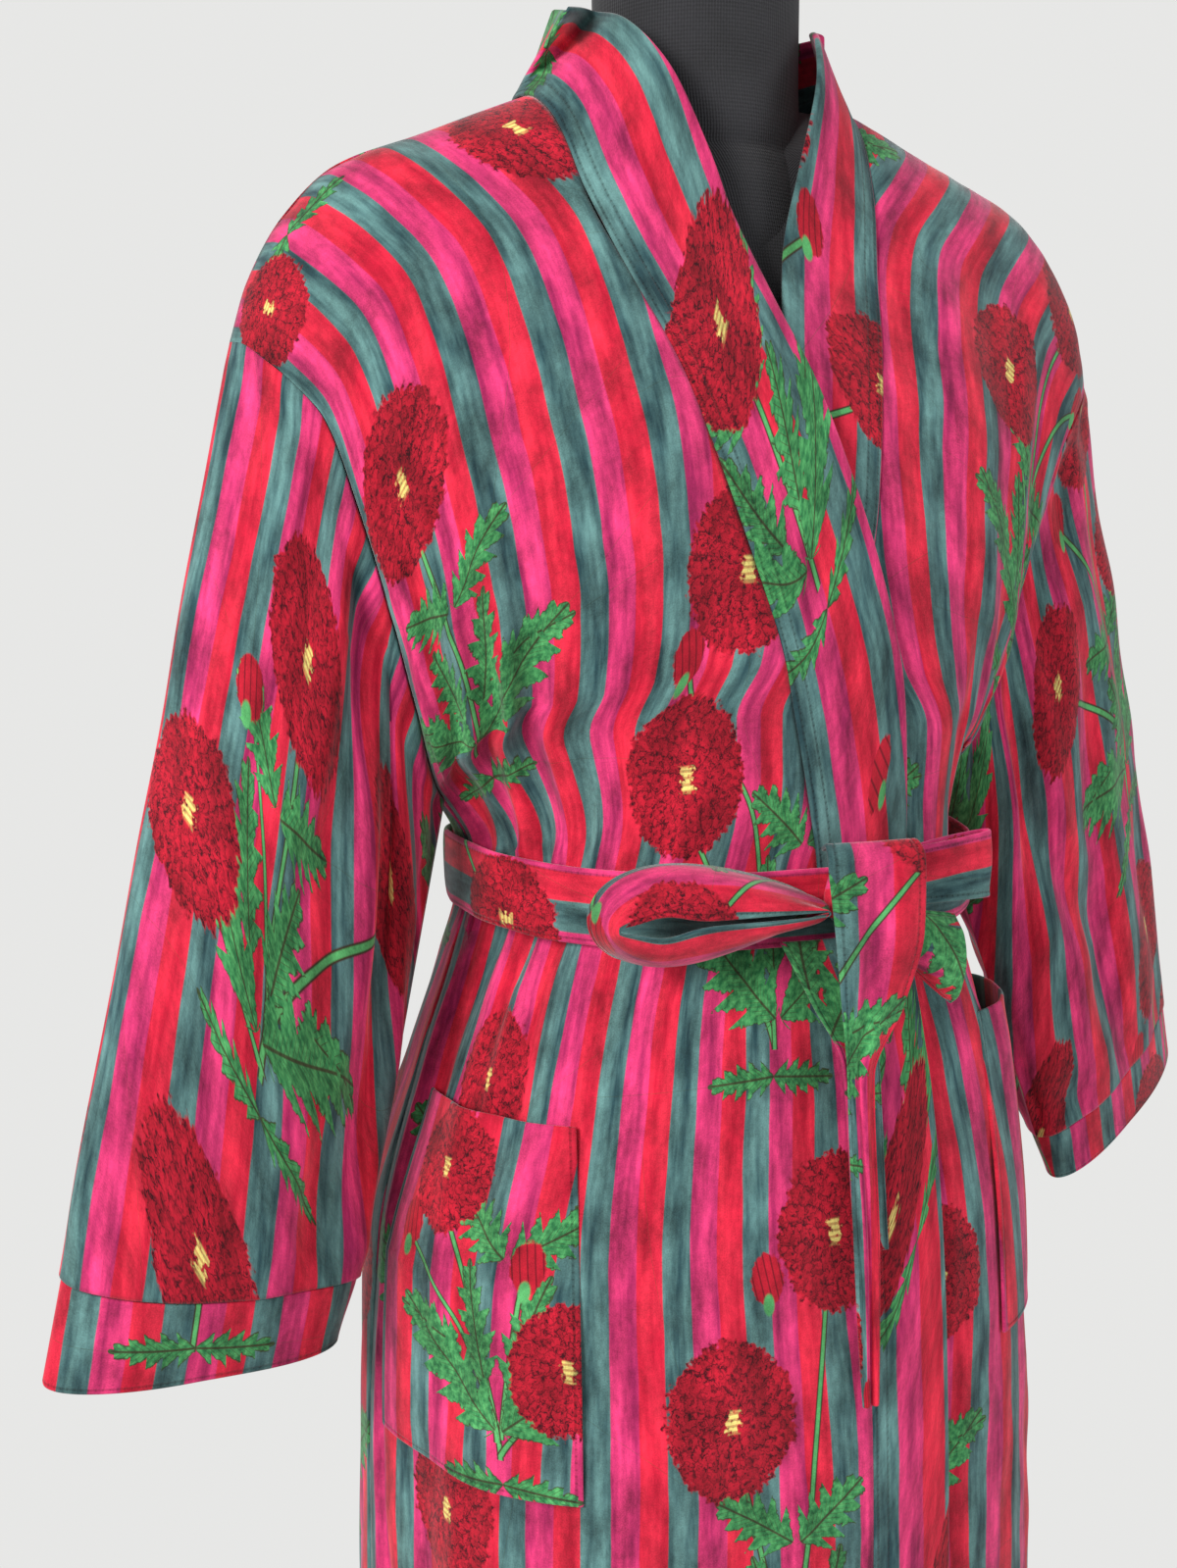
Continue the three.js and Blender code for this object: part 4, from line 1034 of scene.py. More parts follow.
# %% [markdown]
# ## Neckband
# The band is a straight strip folded double. It is sewn round the neck and down both fronts, and
# stands up at the neck where the seam curves, then turns over to lie flat on the chest.

# %% Neckband
BAND_PROUD = 1.2
BAND_ROWS = (0, 12, 28, 52, 84, 124, 168, 214, 260, 300, 332, 352, 395, 438, 470, 506, 538, 584, 626,
             668, 714, 820, 980, 1140, 1308)
NECK_COLUMNS = (0.16, 0.4, 0.66, 0.86, 0.97)
stand_at = {
    RIGHT: smooth_table("along stand width", [
        [-1, 66, 48], [-0.5, 56, 50], [0, 35, 54], [40, 24, 59], [92, 9, 65], [150, 2, 64],
        [352, 0, 61], [475, 0, 51], [620, 0, 46], [1308, 0, 46],
    ]),
    LEFT: smooth_table("along stand width", [
        [-1, 66, 48], [-0.5, 68, 42], [0, 68, 40], [40, 38, 48], [92, 10, 54], [150, 2, 56],
        [352, 0, 54], [475, 0, 46], [620, 0, 46], [1308, 0, 46],
    ]),
}


def band_seam(hand, along):
    """The seam's points and the panel's outward direction; -1 is the centre back."""
    turn = -np.minimum(along, 0) * math.pi / 2
    back_part = neck_share(hand) * np.cos(turn)
    neck_row = BACK_NECK_DROP * np.sin(turn)
    behind = body_point(hand, BACK, neck_row, back_part), body_normal(hand, BACK, neck_row, back_part)
    row = np.maximum(along, 0)
    share = seam_share(hand, row)
    before = front_point(hand, row, share), body_normal(hand, FRONT, row, share)
    choose = (along < 0)[..., None]
    return np.where(choose, behind[0], before[0]), np.where(choose, behind[1], before[1])


def band_frame(hand, along):
    points, out = band_seam(hand, along)
    step = np.where(along < 0, 0.04, 4.0)
    last = band_seam(hand, np.maximum(along - step, -1))[0]
    following = band_seam(hand, along + np.where(along < 0, np.minimum(step, -along), step))[0]
    inwards = unit(np.cross(out, unit(following - last))) * -hand
    return points, out, inwards


def band_point(hand, along, out):
    table = stand_at[hand](along)
    points, normal, inwards = band_frame(hand, along)
    turn = np.radians(table["stand"])[..., None]
    standing = points + (inwards * np.cos(turn) + normal * np.sin(turn)) * (out * table["width"])[..., None]
    row = np.maximum(along, 4)
    tilt = np.arctan((seam_out(hand, row + 4) - seam_out(hand, row - 4)) / 8)
    share = seam_share(hand, row) - out * table["width"] * np.cos(tilt) / side_of(hand, row)
    lying = front_point(hand, np.maximum(row + out * table["width"] * np.sin(tilt), 0), share)
    lies = (smooth_step(60, 165, along) * (along > 60))[..., None]
    return standing * (1 - lies) + lying * lies, normal, inwards


def spline_rows(points, share):
    """A smooth curve through a grid's rows, read at shares of its length."""
    steps = np.linalg.norm(np.diff(points, axis=0), axis=-1).mean(1) ** 0.5
    key = np.concatenate([[0], np.cumsum(steps)])
    slopes = np.empty_like(points)
    d = np.diff(points, axis=0) / np.diff(key)[:, None, None]
    w = np.diff(key)
    slopes[1:-1] = (d[:-1] * w[1:, None, None] + d[1:] * w[:-1, None, None]) / (w[1:] + w[:-1])[:, None, None]
    slopes[0], slopes[-1] = d[0], d[-1]
    length = np.concatenate([[0], np.cumsum(steps ** 2)])
    x = np.interp(share * length[-1], length, key)
    i = np.clip(np.searchsorted(key, x, side="right") - 1, 0, len(key) - 2)
    t = ((x - key[i]) / w[i])[:, None, None]
    ma, mb = slopes[i] * w[i][:, None, None], slopes[i + 1] * w[i][:, None, None]
    a, b = points[i], points[i + 1]
    return ((2 * a + ma - 2 * b + mb) * t + (-3 * a - 2 * ma + 3 * b - mb)) * t * t + ma * t + a


def band_place(hand):
    neck = sorted(-2 / math.pi * math.acos(s) for s in NECK_COLUMNS)
    alongs = np.array([-1, *neck, *BAND_ROWS], float)

    def place(across, down):
        out = np.linspace(0, 1, across.shape[1])
        along_grid, out_grid = np.meshgrid(alongs, out, indexing="ij")
        points, normal, inwards = band_point(hand, along_grid, out_grid)
        away = unit(np.cross(np.gradient(points, axis=1), np.gradient(points, axis=0))) * hand
        points = points + away * BAND_PROUD
        seam = band_frame(hand, alongs)
        points[:, 0] = seam[0] + seam[1] * BAND_PROUD - seam[2] * 0.3
        points[0, :, 0] = hand * 0.1
        return spline_rows(points, down[:, 0])
    return place


def band_stitch(across, down, flat_u, flat_v):
    return np.abs(flat_u - flat_u[:, :1]), flat_v


def band_press(seed):
    def press(across, down, flat_u, flat_v):
        pillow = 0.5 * np.sin(math.pi * np.clip(across, 0, 1)) ** 0.7
        channels = sum(
            -deep * np.exp(-(((across - middle) / 0.03) ** 2)) for middle, deep in ((0.12, 0.5), (0.2, 0.35))
        )
        return pillow + channels + unevenness(flat_u, flat_v, seed, 70, 0.5) * np.sin(math.pi * across)
    return press


for hand, side in SIDES:
    cloth_piece(
        f"neckband_{side}_cloth", "velvet_band", (22, 420), band_place(hand),
        panel_cut(hand, *PRINT[f"band_{side}"]), stitch=band_stitch, press=band_press(61 + hand),
        thick=BAND_DOUBLED, smooth_levels=1,
    )

# %% [markdown]
# ## Belt, knot and bow
# The belt is a strip folded double and topstitched. It goes round the waist, and its ends make a
# bow: a large loop to one side that the knot pinches flat, a small one behind, and hanging tails.

# %% Belt round the waist
BELT_WIDTH = 38
BELT_LIFT = 4.6  # robe to the belt's outer face
BELT_EASE = 2.5


def belt_place(across, down):
    angle = 2 * math.pi * across
    c, s = np.cos(angle), np.sin(angle)
    b = body_at(BELT_ROW)
    side = np.where(c < 0, b["side"], b["sideLeft"]) + BELT_LIFT + BELT_EASE
    depth = np.where(s < 0, b["front"], b["back"]) + BELT_LIFT + BELT_EASE
    power = 2 / SECTION_POWER
    x, y = side * np.sign(c) * np.abs(c) ** power, depth * np.sign(s) * np.abs(s) ** power
    middle = BELT_Z - 1 + 8 * (1 - np.maximum(0, -s))
    return np.stack([x, y, middle + (0.5 - down) * BELT_WIDTH], -1)


def strip_cut(print_u, print_v):
    """A strip whose stripes run round it: its width is across the print."""
    def cut(across, down, points):
        return print_u + arc_down(points), print_v + arc_across(points)
    return cut


def strip_stitch(across, down, flat_u, flat_v):
    wide = np.abs(flat_u[-1:] - flat_u[:1])
    return np.minimum(down, 1 - down) * wide, flat_v


def belt_press(across, down, flat_u, flat_v):
    round_over = -1.0 * (np.abs(2 * down - 1) ** 4)
    ripple = 0.7 * np.sin(flat_v * 0.11 + 2.2 * down) * np.sin(flat_v * 0.027 + 1)
    return round_over + ripple


cloth_piece(
    "belt_waist_cloth", "velvet_belt", (300, 12), belt_place, strip_cut(*PRINT["belt"]),
    stitch=strip_stitch, press=belt_press, thick=DOUBLED, closed=True, smooth_levels=1,
)

# %% Knot
KNOT = {"x": 24, "y": -141.8, "rise": 8, "half_width": 21, "half_depth": 13, "half_height": 17}


def knot_place(across, down):
    angle = 2 * math.pi * across
    level = 1 - 2 * down
    size = np.maximum(0.12, (1 - np.abs(level) ** 3)) ** (1 / 3)
    wrap_fold = 1 + 0.07 * np.cos(3 * angle + 2 * level) + 0.035 * np.cos(7 * angle - 5 * level)
    x = KNOT["x"] + KNOT["half_width"] * size * np.cos(angle) * wrap_fold
    y = KNOT["y"] + KNOT["half_depth"] * size * np.sin(angle) * wrap_fold
    return np.stack([x, y, BELT_Z + KNOT["rise"] + KNOT["half_height"] * level], -1)


cloth_piece("belt_knot_cloth", "velvet_belt", (72, 28), knot_place, strip_cut(29, 40), **RING)

# %% Large loop of the bow
LARGE_LOOP = {"x": -56.5, "y": -130.1, "half_length": 58, "half_height": 22, "forward": 28}
LOOP_EYE = {"x": -90, "reach": 15, "opening": 3.6, "slit": 1.0}


def large_loop_place(across, down):
    """From the back edge (down = 0) to the lips at the front (down = 1)."""
    angle = 2 * math.pi * across
    x = LARGE_LOOP["x"] + LARGE_LOOP["half_length"] * np.cos(angle)
    taper = np.sin(angle) * (1 - 0.42 * np.cos(angle))
    back_z = 2 + LARGE_LOOP["half_height"] * taper
    eye = LOOP_EYE["opening"] * np.exp(-(((x - LOOP_EYE["x"]) / LOOP_EYE["reach"]) ** 2))
    front_z = 1 + (LOOP_EYE["slit"] + eye) * np.sign(taper) * np.minimum(1, np.abs(taper) * 8)
    quarter = math.pi / 2 * down
    middle = LARGE_LOOP["x"]
    y = LARGE_LOOP["y"] - LARGE_LOOP["forward"] * np.sin(quarter)
    z = back_z * np.cos(quarter) + front_z * (1 - np.cos(quarter))
    return np.stack([middle + (x - middle) * (1 - 0.1 * down), y, BELT_Z + z], -1)


def loop_cut(print_u, print_v):
    def cut(across, down, points):
        return print_u + down * BELT_WIDTH, print_v + arc_across(points)[0:1] * np.ones_like(down)
    return cut


def loop_press(across, down, flat_u, flat_v):
    angle = 2 * math.pi * across
    upper = np.sin(angle) > 0
    near_knot = np.exp(-(np.minimum(across, 1 - across) / 0.12) ** 2)
    gathers = 1.4 * near_knot * np.cos(down * 13 + 3 * np.sin(angle))
    soft = 0.8 * np.sin(angle * 3 + 4 * down + upper) * np.abs(np.sin(angle))
    return (gathers + soft) * smooth_step(0, 0.2, down) * smooth_step(1, 0.8, down)


cloth_piece(
    "bow_loop_large_cloth", "velvet_belt", (180, 22), large_loop_place, loop_cut(*PRINT["bow"]),
    stitch=strip_stitch, press=loop_press, **RING,
)

# %% Small loop of the bow
SMALL_LOOP = {"x": 45.8, "y": -140, "length": 54, "half_height": 14, "outwards": 10, "rise": 13}


def small_loop_place(across, down):
    angle = 2 * math.pi * across
    c, s = np.cos(angle), np.sin(angle)
    along = (c + 1) / 2
    x = SMALL_LOOP["x"] + SMALL_LOOP["length"] * along
    y = SMALL_LOOP["y"] + SMALL_LOOP["outwards"] * along + (3.4 + 3.1 * along) * np.sign(s) * np.abs(s) ** 0.5
    tall = SMALL_LOOP["half_height"] + 3 * along
    z = BELT_Z + SMALL_LOOP["rise"] + 2 * along + (1 - 2 * down) * tall
    return np.stack([x, y, z], -1)


def small_loop_press(across, down, flat_u, flat_v):
    return 0.7 * np.sin(across * 19 + down * 5) * smooth_step(0, 0.15, down) * smooth_step(1, 0.85, down)


cloth_piece(
    "bow_loop_small_cloth", "velvet_belt", (120, 16), small_loop_place, strip_cut(45, 130),
    stitch=strip_stitch, press=small_loop_press, **RING,
)

# %% Hanging tails
front_tail_at = smooth_table("down z left right forward", [
    [0, 30, 0, 44, 140.5], [9, 33, -3, 46, 150.5], [20, 25, -5, 47, 158], [55, -10, -2, 46, 159.5],
    [90, -45, 2, 36, 158.5], [122, -78, 5, 20, 158.5], [200, -155, 8, 21, 162.5], [282, -237, 10, 19, 166.5],
])
second_tail_at = smooth_table("down z left right forward", [
    [0, -13.5, -22, 16, 142.1], [30, -44, -8, 22, 148.6], [60, -74, 6, 26, 153.1], [150, -164, 10, 28, 159.1],
])


def tail_place(table, length, bulge):
    def place(across, down):
        r = table(down * length)
        x = r["left"] + (r["right"] - r["left"]) * across
        return np.stack([x, -r["forward"] - bulge * np.sin(math.pi * across), BELT_Z + r["z"]], -1)
    return place


def tail_cut(print_u, print_v, length, shown=BELT_WIDTH):
    def cut(across, down, points):
        return print_u + across * shown, print_v - down * length
    return cut


def tail_stitch(across, down, flat_u, flat_v):
    return np.minimum(across, 1 - across) * BELT_WIDTH, flat_v


def front_tail_press(across, down, flat_u, flat_v):
    pleat = 2.4 * np.exp(-(((across - 0.36 - 0.2 * down) / 0.1) ** 2)) * smooth_step(0.1, 0.34, down)
    twist = 0.9 * np.sin(across * 9 + down * 6) * smooth_step(0.02, 0.2, down)
    return (twist - pleat) * np.sin(math.pi * across) ** 0.4


FRONT_TAIL_LENGTH, SECOND_TAIL_LENGTH = 282, 150
SECOND_TAIL_SHOWN = 30  # mm of its width, the rest is turned under


def second_tail_press(across, down, flat_u, flat_v):
    return 0.6 * np.sin(across * 8 + down * 5)


cloth_piece(
    "belt_tail_front_cloth", "velvet_belt", (34, 150), tail_place(front_tail_at, FRONT_TAIL_LENGTH, 1.5),
    tail_cut(*PRINT["tail"], FRONT_TAIL_LENGTH), stitch=tail_stitch, press=front_tail_press,
    thick=DOUBLED, smooth_levels=1,
)
cloth_piece(
    "belt_tail_second_cloth", "velvet_belt", (28, 90), tail_place(second_tail_at, SECOND_TAIL_LENGTH, 1),
    tail_cut(2, 60, SECOND_TAIL_LENGTH, SECOND_TAIL_SHOWN), stitch=tail_stitch, press=second_tail_press,
    thick=DOUBLED, smooth_levels=1,
)

# %% Short end of the belt
SHORT_END = {"x": 44.95, "length": 27, "slope_down": 8}
short_end_section = smooth_table("at y z", [
    [0, -146, 2], [0.25, -155, -7], [0.5, -157, -22], [0.75, -152, -37], [1, -143, -44],
])


def short_end_place(across, down):
    s = short_end_section(down)
    x = SHORT_END["x"] + SHORT_END["length"] * across
    z = s["z"] * (0.62 + 0.38 * across) - 3 - (SHORT_END["slope_down"] - 3) * across
    return np.stack([x, s["y"] + 2 * across, BELT_Z + z], -1)


def short_end_press(across, down, flat_u, flat_v):
    return 0.5 * np.sin(down * 12 + across * 3)


cloth_piece(
    "belt_short_end_cloth", "velvet_belt", (26, 40), short_end_place, strip_cut(11, 20),
    stitch=strip_stitch, press=short_end_press, thick=DOUBLED, smooth_levels=1,
)

# %% [markdown]
# ## Dress form and stand
# The form is a padded torso in black ribbed jersey with a plain neck. Only its neck and a V of
# the chest show, but it is whole under the robe.

# %% Dress form
form_at = smooth_table("row side clear", [
    [2, 180, 2.95], [15, 180, 3], [40, 180, 3.6], [65, 179, 5], [92, 172, 9], [140, 160, 14], [195, 150, 17],
    [268, 142, 18], [352, 125, 19], [438, 114, 17], [530, 138, 19], [620, 150, 22], [680, 152, 26],
])
FORM_ROWS = (2, 8, 15, 26, 40, 65, 92, 140, 195, 268, 352, 438, 530, 620, 680)


def form_point(row, angle):
    facing = np.where(np.sin(angle) > 0, BACK, FRONT)
    hand = np.where(np.cos(angle) >= 0, LEFT, RIGHT)
    c = np.abs(section_share(np.mod(angle, math.pi)))
    f = form_at(row)
    result = np.zeros(np.shape(row) + (3,))
    for h in (RIGHT, LEFT):
        for face in (FRONT, BACK):
            b = body_at(row)
            share = c * f["side"] / side_of(h, row)
            above, n = body_point(h, face, row, share), body_normal(h, face, row, share)
            worn = above - n * f["clear"][..., None]
            depth = (b["front"] if face == FRONT else b["back"]) - f["clear"]
            full = np.maximum(0, 1 - c ** SECTION_POWER) ** (1 / SECTION_POWER)
            plain = np.stack([h * f["side"] * c, face * np.maximum(depth * full, 1), above[..., 2]], -1)
            opens = (1 - smooth_step(300, 400, row))[..., None]
            here = plain * (1 - opens) + worn * opens
            result = np.where(((hand == h) & (facing == face))[..., None], here, result)
    return result


def torso_place(across, down):
    angles = 2 * math.pi * across[0]
    rows, turns = np.meshgrid(np.array(FORM_ROWS, float), angles, indexing="ij")
    points = spline_rows(form_point(rows, turns), down[:, 0])
    seam_x = np.exp(-((points[..., 0] / 2.2) ** 2)) * (points[..., 1] < 0)
    points[..., 1] += 1.1 * seam_x
    return points


def plain_cut(across, down, points):
    return arc_across(points), -arc_down(points)


def close_ends(piece):
    """Fill the open rings of a piece with a fan, so that it is one closed body."""
    bm = bmesh.new()
    bm.from_mesh(piece.data)
    open_edges = [e for e in bm.edges if e.is_boundary]
    bmesh.ops.holes_fill(bm, edges=open_edges, sides=0)
    bmesh.ops.triangulate(bm, faces=[f for f in bm.faces if len(f.verts) > 4])
    bmesh.ops.recalc_face_normals(bm, faces=bm.faces[:])
    bm.to_mesh(piece.data)
    bm.free()
    for name in ("wall", "rounding"):
        if name in piece.modifiers:
            piece.modifiers.remove(piece.modifiers[name])
    piece.data.shade_smooth()


form_torso = cloth_piece("form_torso_cover", "form_jersey", (128, 110), torso_place, plain_cut, closed=True)
close_ends(form_torso)

neck_radius_at = smooth_table("z radius", [
    [300, 66], [352, 60], [366, 56.6], [373, 54.4], [378, 54.6], [410, 53.5], [478, 54], [482, 53], [484, 49],
])


NECK_FOOT, NECK_TALL = 300, 184  # mm above the belt, and mm from there to the cap


def neck_place(across, down):
    height = NECK_FOOT + NECK_TALL * down
    radius = neck_radius_at(height)["radius"]
    angle = -2 * math.pi * across
    return np.stack([radius * np.cos(angle), radius * np.sin(angle), BELT_Z + height], -1)


form_neck = cloth_piece("form_neck_cover", "form_jersey", (96, 92), neck_place, plain_cut, closed=True)
close_ends(form_neck)


# %% Stand
def stand_piece(name, profile, spots):
    """A turned piece: a profile of (radius, height) in mm is spun round the upright axis."""
    bm = bmesh.new()
    verts = [bm.verts.new((r * MM, 0, z * MM)) for r, z in profile]
    edges = [bm.edges.new(pair) for pair in zip(verts, verts[1:])]
    bmesh.ops.spin(bm, geom=verts + edges, axis=(0, 0, 1), cent=(0, 0, 0), angle=2 * math.pi, steps=spots,
                   use_merge=True)
    bmesh.ops.remove_doubles(bm, verts=bm.verts[:], dist=0.00001)
    bmesh.ops.recalc_face_normals(bm, faces=bm.faces[:])
    mesh = bpy.data.meshes.new(name)
    bm.to_mesh(mesh)
    bm.free()
    piece = bpy.data.objects.new(name, mesh)
    bpy.context.scene.collection.objects.link(piece)
    mesh.shade_smooth()
    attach(piece, "root")
    made_pieces[name] = piece
    return piece


base_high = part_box("stand_base")[1]
pole_low, pole_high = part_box("stand_pole")
base_radius, base_top = base_high[0] / MM, base_high[2] / MM
EDGE = 5  # mm radius of the plate's rounded edge
edge_arc = [
    (base_radius - EDGE + EDGE * math.sin(a), base_top - EDGE + EDGE * math.cos(a))
    for a in np.linspace(0, math.pi / 2, 7)
]
plate_profile = [(0, base_top), (22, base_top), *edge_arc, (base_radius, 0), (0, 0)]
stand_piece("foot_plate", plate_profile, 96)
pole_radius = pole_high[0] / MM
pole_bottom, pole_top = pole_low[2] / MM, pole_high[2] / MM
stand_piece("pole", [
    (0, pole_top), (pole_radius - 1, pole_top), (pole_radius, pole_top - 1),
    (pole_radius, pole_bottom + 1), (pole_radius - 1, pole_bottom), (0, pole_bottom),
], 40)
print("pieces so far:", len(made_pieces))

# %% [markdown]
# ## What replaces what
# Each cloth piece stands for its solid, which is hidden from view and render but kept. Every
# sheet also states the size it was cut to.

# %% Replacements
# A piece is named after its solid, apart from these
NODE_OF = {
    "back_cloth": "back_panel", "form_torso_cover": "dress_form",
    "foot_plate": "stand_base", "pole": "stand_pole",
}
for name, piece in made_pieces.items():
    if name != "form_neck_cover":
        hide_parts(NODE_OF.get(name, name.removesuffix("_cloth")))


# %% Flat cut of every sheet
# How the pieces are held, what they rest on, and which pieces these are
HELD = (
    ("gathered", ["form_torso_cover"], "front_right front_left back"),
    ("hung", ["front_right_cloth"], "sleeve_right"),
    ("hung", ["front_left_cloth"], "sleeve_left"),
    ("hung", ["sleeve_right_cloth"], "cuff_right"),
    ("hung", ["sleeve_left_cloth"], "cuff_left"),
    ("laid", ["front_right_cloth"], "neckband_right"),
    ("laid", ["front_left_cloth"], "neckband_left"),
    ("laid", ["front_right_cloth"], "pocket_right"),
    ("laid", ["front_left_cloth"], "pocket_left"),
    ("laid", ["front_right_cloth", "back_cloth"], "belt_waist"),
    ("gathered", ["belt_waist_cloth"], "belt_knot"),
    ("folded", ["belt_knot_cloth"], "bow_loop_large bow_loop_small"),
    ("hung", ["belt_knot_cloth"], "belt_tail_front belt_tail_second"),
    ("folded", ["belt_knot_cloth"], "belt_short_end"),
)


def flat_size(piece):
    """Width, length and area of a piece's flat cut, read from its Cloth map."""
    mesh = piece.data
    flat = np.empty(len(mesh.loops) * 2)
    mesh.uv_layers["Cloth"].data.foreach_get("uv", flat)
    flat = flat.reshape(-1, 2)
    area = 0.0
    for face in mesh.polygons:
        corners = flat[list(face.loop_indices)]
        following = np.roll(corners, -1, axis=0)
        area += abs((corners[:, 0] * following[:, 1] - following[:, 0] * corners[:, 1]).sum()) / 2
    wide, long = np.ptp(flat, axis=0)
    return float(wide), float(long), float(area)


for held, rests_on, names in HELD:
    for name in names.split():
        piece = made_pieces[f"{name}_cloth"]
        wide, long, area = flat_size(piece)
        print(f"{name}: {wide * 1000:.0f} x {long * 1000:.0f} mm, {area:.4f} m2")

# %% [markdown]
# ## Printed velvet
# The cloth is a cotton velvet printed with stripes in teal, pink and red, and with plants over
# them: carnation-like flowers with scalloped petals, toothed leaves and a bud. The print is
# drawn as sums on the Cloth map, in millimetres of flat cloth, so it bends and crowds with the
# folds as dyed cloth does. The pile is a bump, a mottling of random tone with painted sheen in its
# large lighter and darker patches, and a sheen that brightens grazing light.

# %% Shading helpers
STRIPE = 14.5
PLANT_WIDE = 15 * STRIPE
PLANT_HIGH = 330
STRIPE_START = 20


def shade(colour, amount):
    """A colour made lighter or darker by a factor."""
    made = Sum.node("ShaderNodeVectorMath", operation="SCALE")
    Sum.tree.links.new(colour, made.inputs[0])
    Sum.tree.links.new(amount.socket, made.inputs["Scale"])
    return made.outputs[0]


def steps_over(a, b):
    """1 where a is greater than b, else 0."""
    return Sum.math("GREATER_THAN", a, b)


def limited(x, low, high):
    return least(most(x, low), high)


def map_place(map_name):
    """The two numbers of a map, in millimetres."""
    source = Sum.node("ShaderNodeUVMap", uv_map=map_name)
    split = Sum.node("ShaderNodeSeparateXYZ")
    Sum.tree.links.new(source.outputs[0], split.inputs[0])
    return Sum(split.outputs[0]) * 1000, Sum(split.outputs[1]) * 1000


# %% Stripes
def stripes(x, y, streak):
    """Three painted stripes with slightly wavy borders and streaks along them."""
    waver = (speckle(x, y * 0.25, 9, 1.0) - 0.5) * 1.5
    place = wrap(x + waver - STRIPE_START, 3 * STRIPE)
    brush = limited((streak - 0.3) * 2.6, 0, 1)
    teal = paint(brush, TEAL, TEAL_PALE)
    pink = paint(brush, PINK_DEEP, PINK)
    red = paint(brush, RED, RED_PALE)
    soft = 0.35
    colour = paint(1 - under(place, STRIPE, soft), teal, pink)
    colour = paint(1 - under(place, 2 * STRIPE, soft), colour, red)
    return paint(1 - under(place, 3 * STRIPE - soft, soft), colour, teal)


# %% Flowers
# Where flowers (x, y, radius), stems (foot, top, bow) and buds stand, in mm from a plant's root.
# The repeat serves every piece whose print is hidden or broken up. The others have lists of
# their own, because their flowers are seen whole.
REPEAT = {
    "flowers": ((-4, 230, 33), (-40, 140, 31), (78, 150, 31)),
    "stems": ((0, -14, 0, 200, 0.8), (0, 8, -36, 120, 1.7), (0, 10, 66, 130, 1.6), (4, 108, 34, 190, 1.5)),
    "buds": ((36, 200),),
}
FRONT_PLAN = {
    "flowers": ((-17, -153, 35), (158, -272, 34), (139, -364, 35), (30, -513, 31), (253, -582, 34),
                (189, -665, 35), (31, -724, 34), (122, -36, 30), (-33, -24, 26), (-15, -850, 34),
                (115, -900, 33), (225, -960, 33), (21, -1040, 34), (155, -1120, 33), (-35, -1200, 33)),
    "stems": ((0, -330, -16, -180, 1.4), (217, -495, 143, -390, 1.3), (217, -495, 131, -316, 1.8),
              (0, -660, 27, -540, 1.5), (217, -825, 192, -690, 1.5), (217, -825, 44, -750, 1.2),
              (217, -825, 246, -610, 1.3), (0, -990, -14, -870, 1.3), (217, -1155, 224, -980, 1.4)),
    "buds": ((129, -308), (212, -600)),
}
SLEEVE_PLAN = {
    "flowers": ((5, 166, 36), (-57, 42, 34), (103, 171, 30), (-21, -96, 35), (-150, 120, 32), (-190, -40, 32),
                (-120, -130, 31), (-260, 60, 32), (-230, 190, 31), (170, -60, 31)),
    "stems": ((0, 0, 6, 140, 0.9), (0, 4, -50, 30, 1.3), (0, 8, 96, 150, 1.5), (2, 30, -30, 108, 1.8),
              (217, -165, 176, -80, 1.3), (-217, -165, -190, -60, 1.3)),
    "buds": ((-33, 116),),
}
POCKET_PLAN = {
    "flowers": ((-52, 131, 29), (31, 47, 29), (90, 190, 30), (-160, 30, 30)),
    "stems": ((0, 0, -47, 112, 1.4), (0, 2, 26, 34, 1.2), (0, 10, 6, 88, 1.4), (-2, 8, -72, 92, 1.6)),
    "buds": ((-74, 98), (7, 94)),
}
BAND_PLAN = {
    "flowers": ((2, 132, 36), (8, 520, 30), (-12, -300, 31), (14, -560, 32), (-4, -800, 31)),
    "stems": ((0, 0, 2, 110, 1.2), (0, -330, -8, -310, 1.2)),
    "buds": ((14, -120),),
}
FLOWER_TALL = 1.12


def nearest_flower(x, y, places):
    """Place inside the nearest of the flowers, as shares of its radius."""
    best = None
    for middle_x, middle_y, radius in places:
        dx = (x - middle_x) * (1 / radius)
        dy = (y - middle_y) * (1 / (radius * FLOWER_TALL))
        far = dx * dx + dy * dy
        if best is None:
            best = (far, dx, dy)
        else:
            nearer = steps_over(best[0], far)
            best = tuple(pick(nearer, old, new) for old, new in zip(best, (far, dx, dy)))
    return best


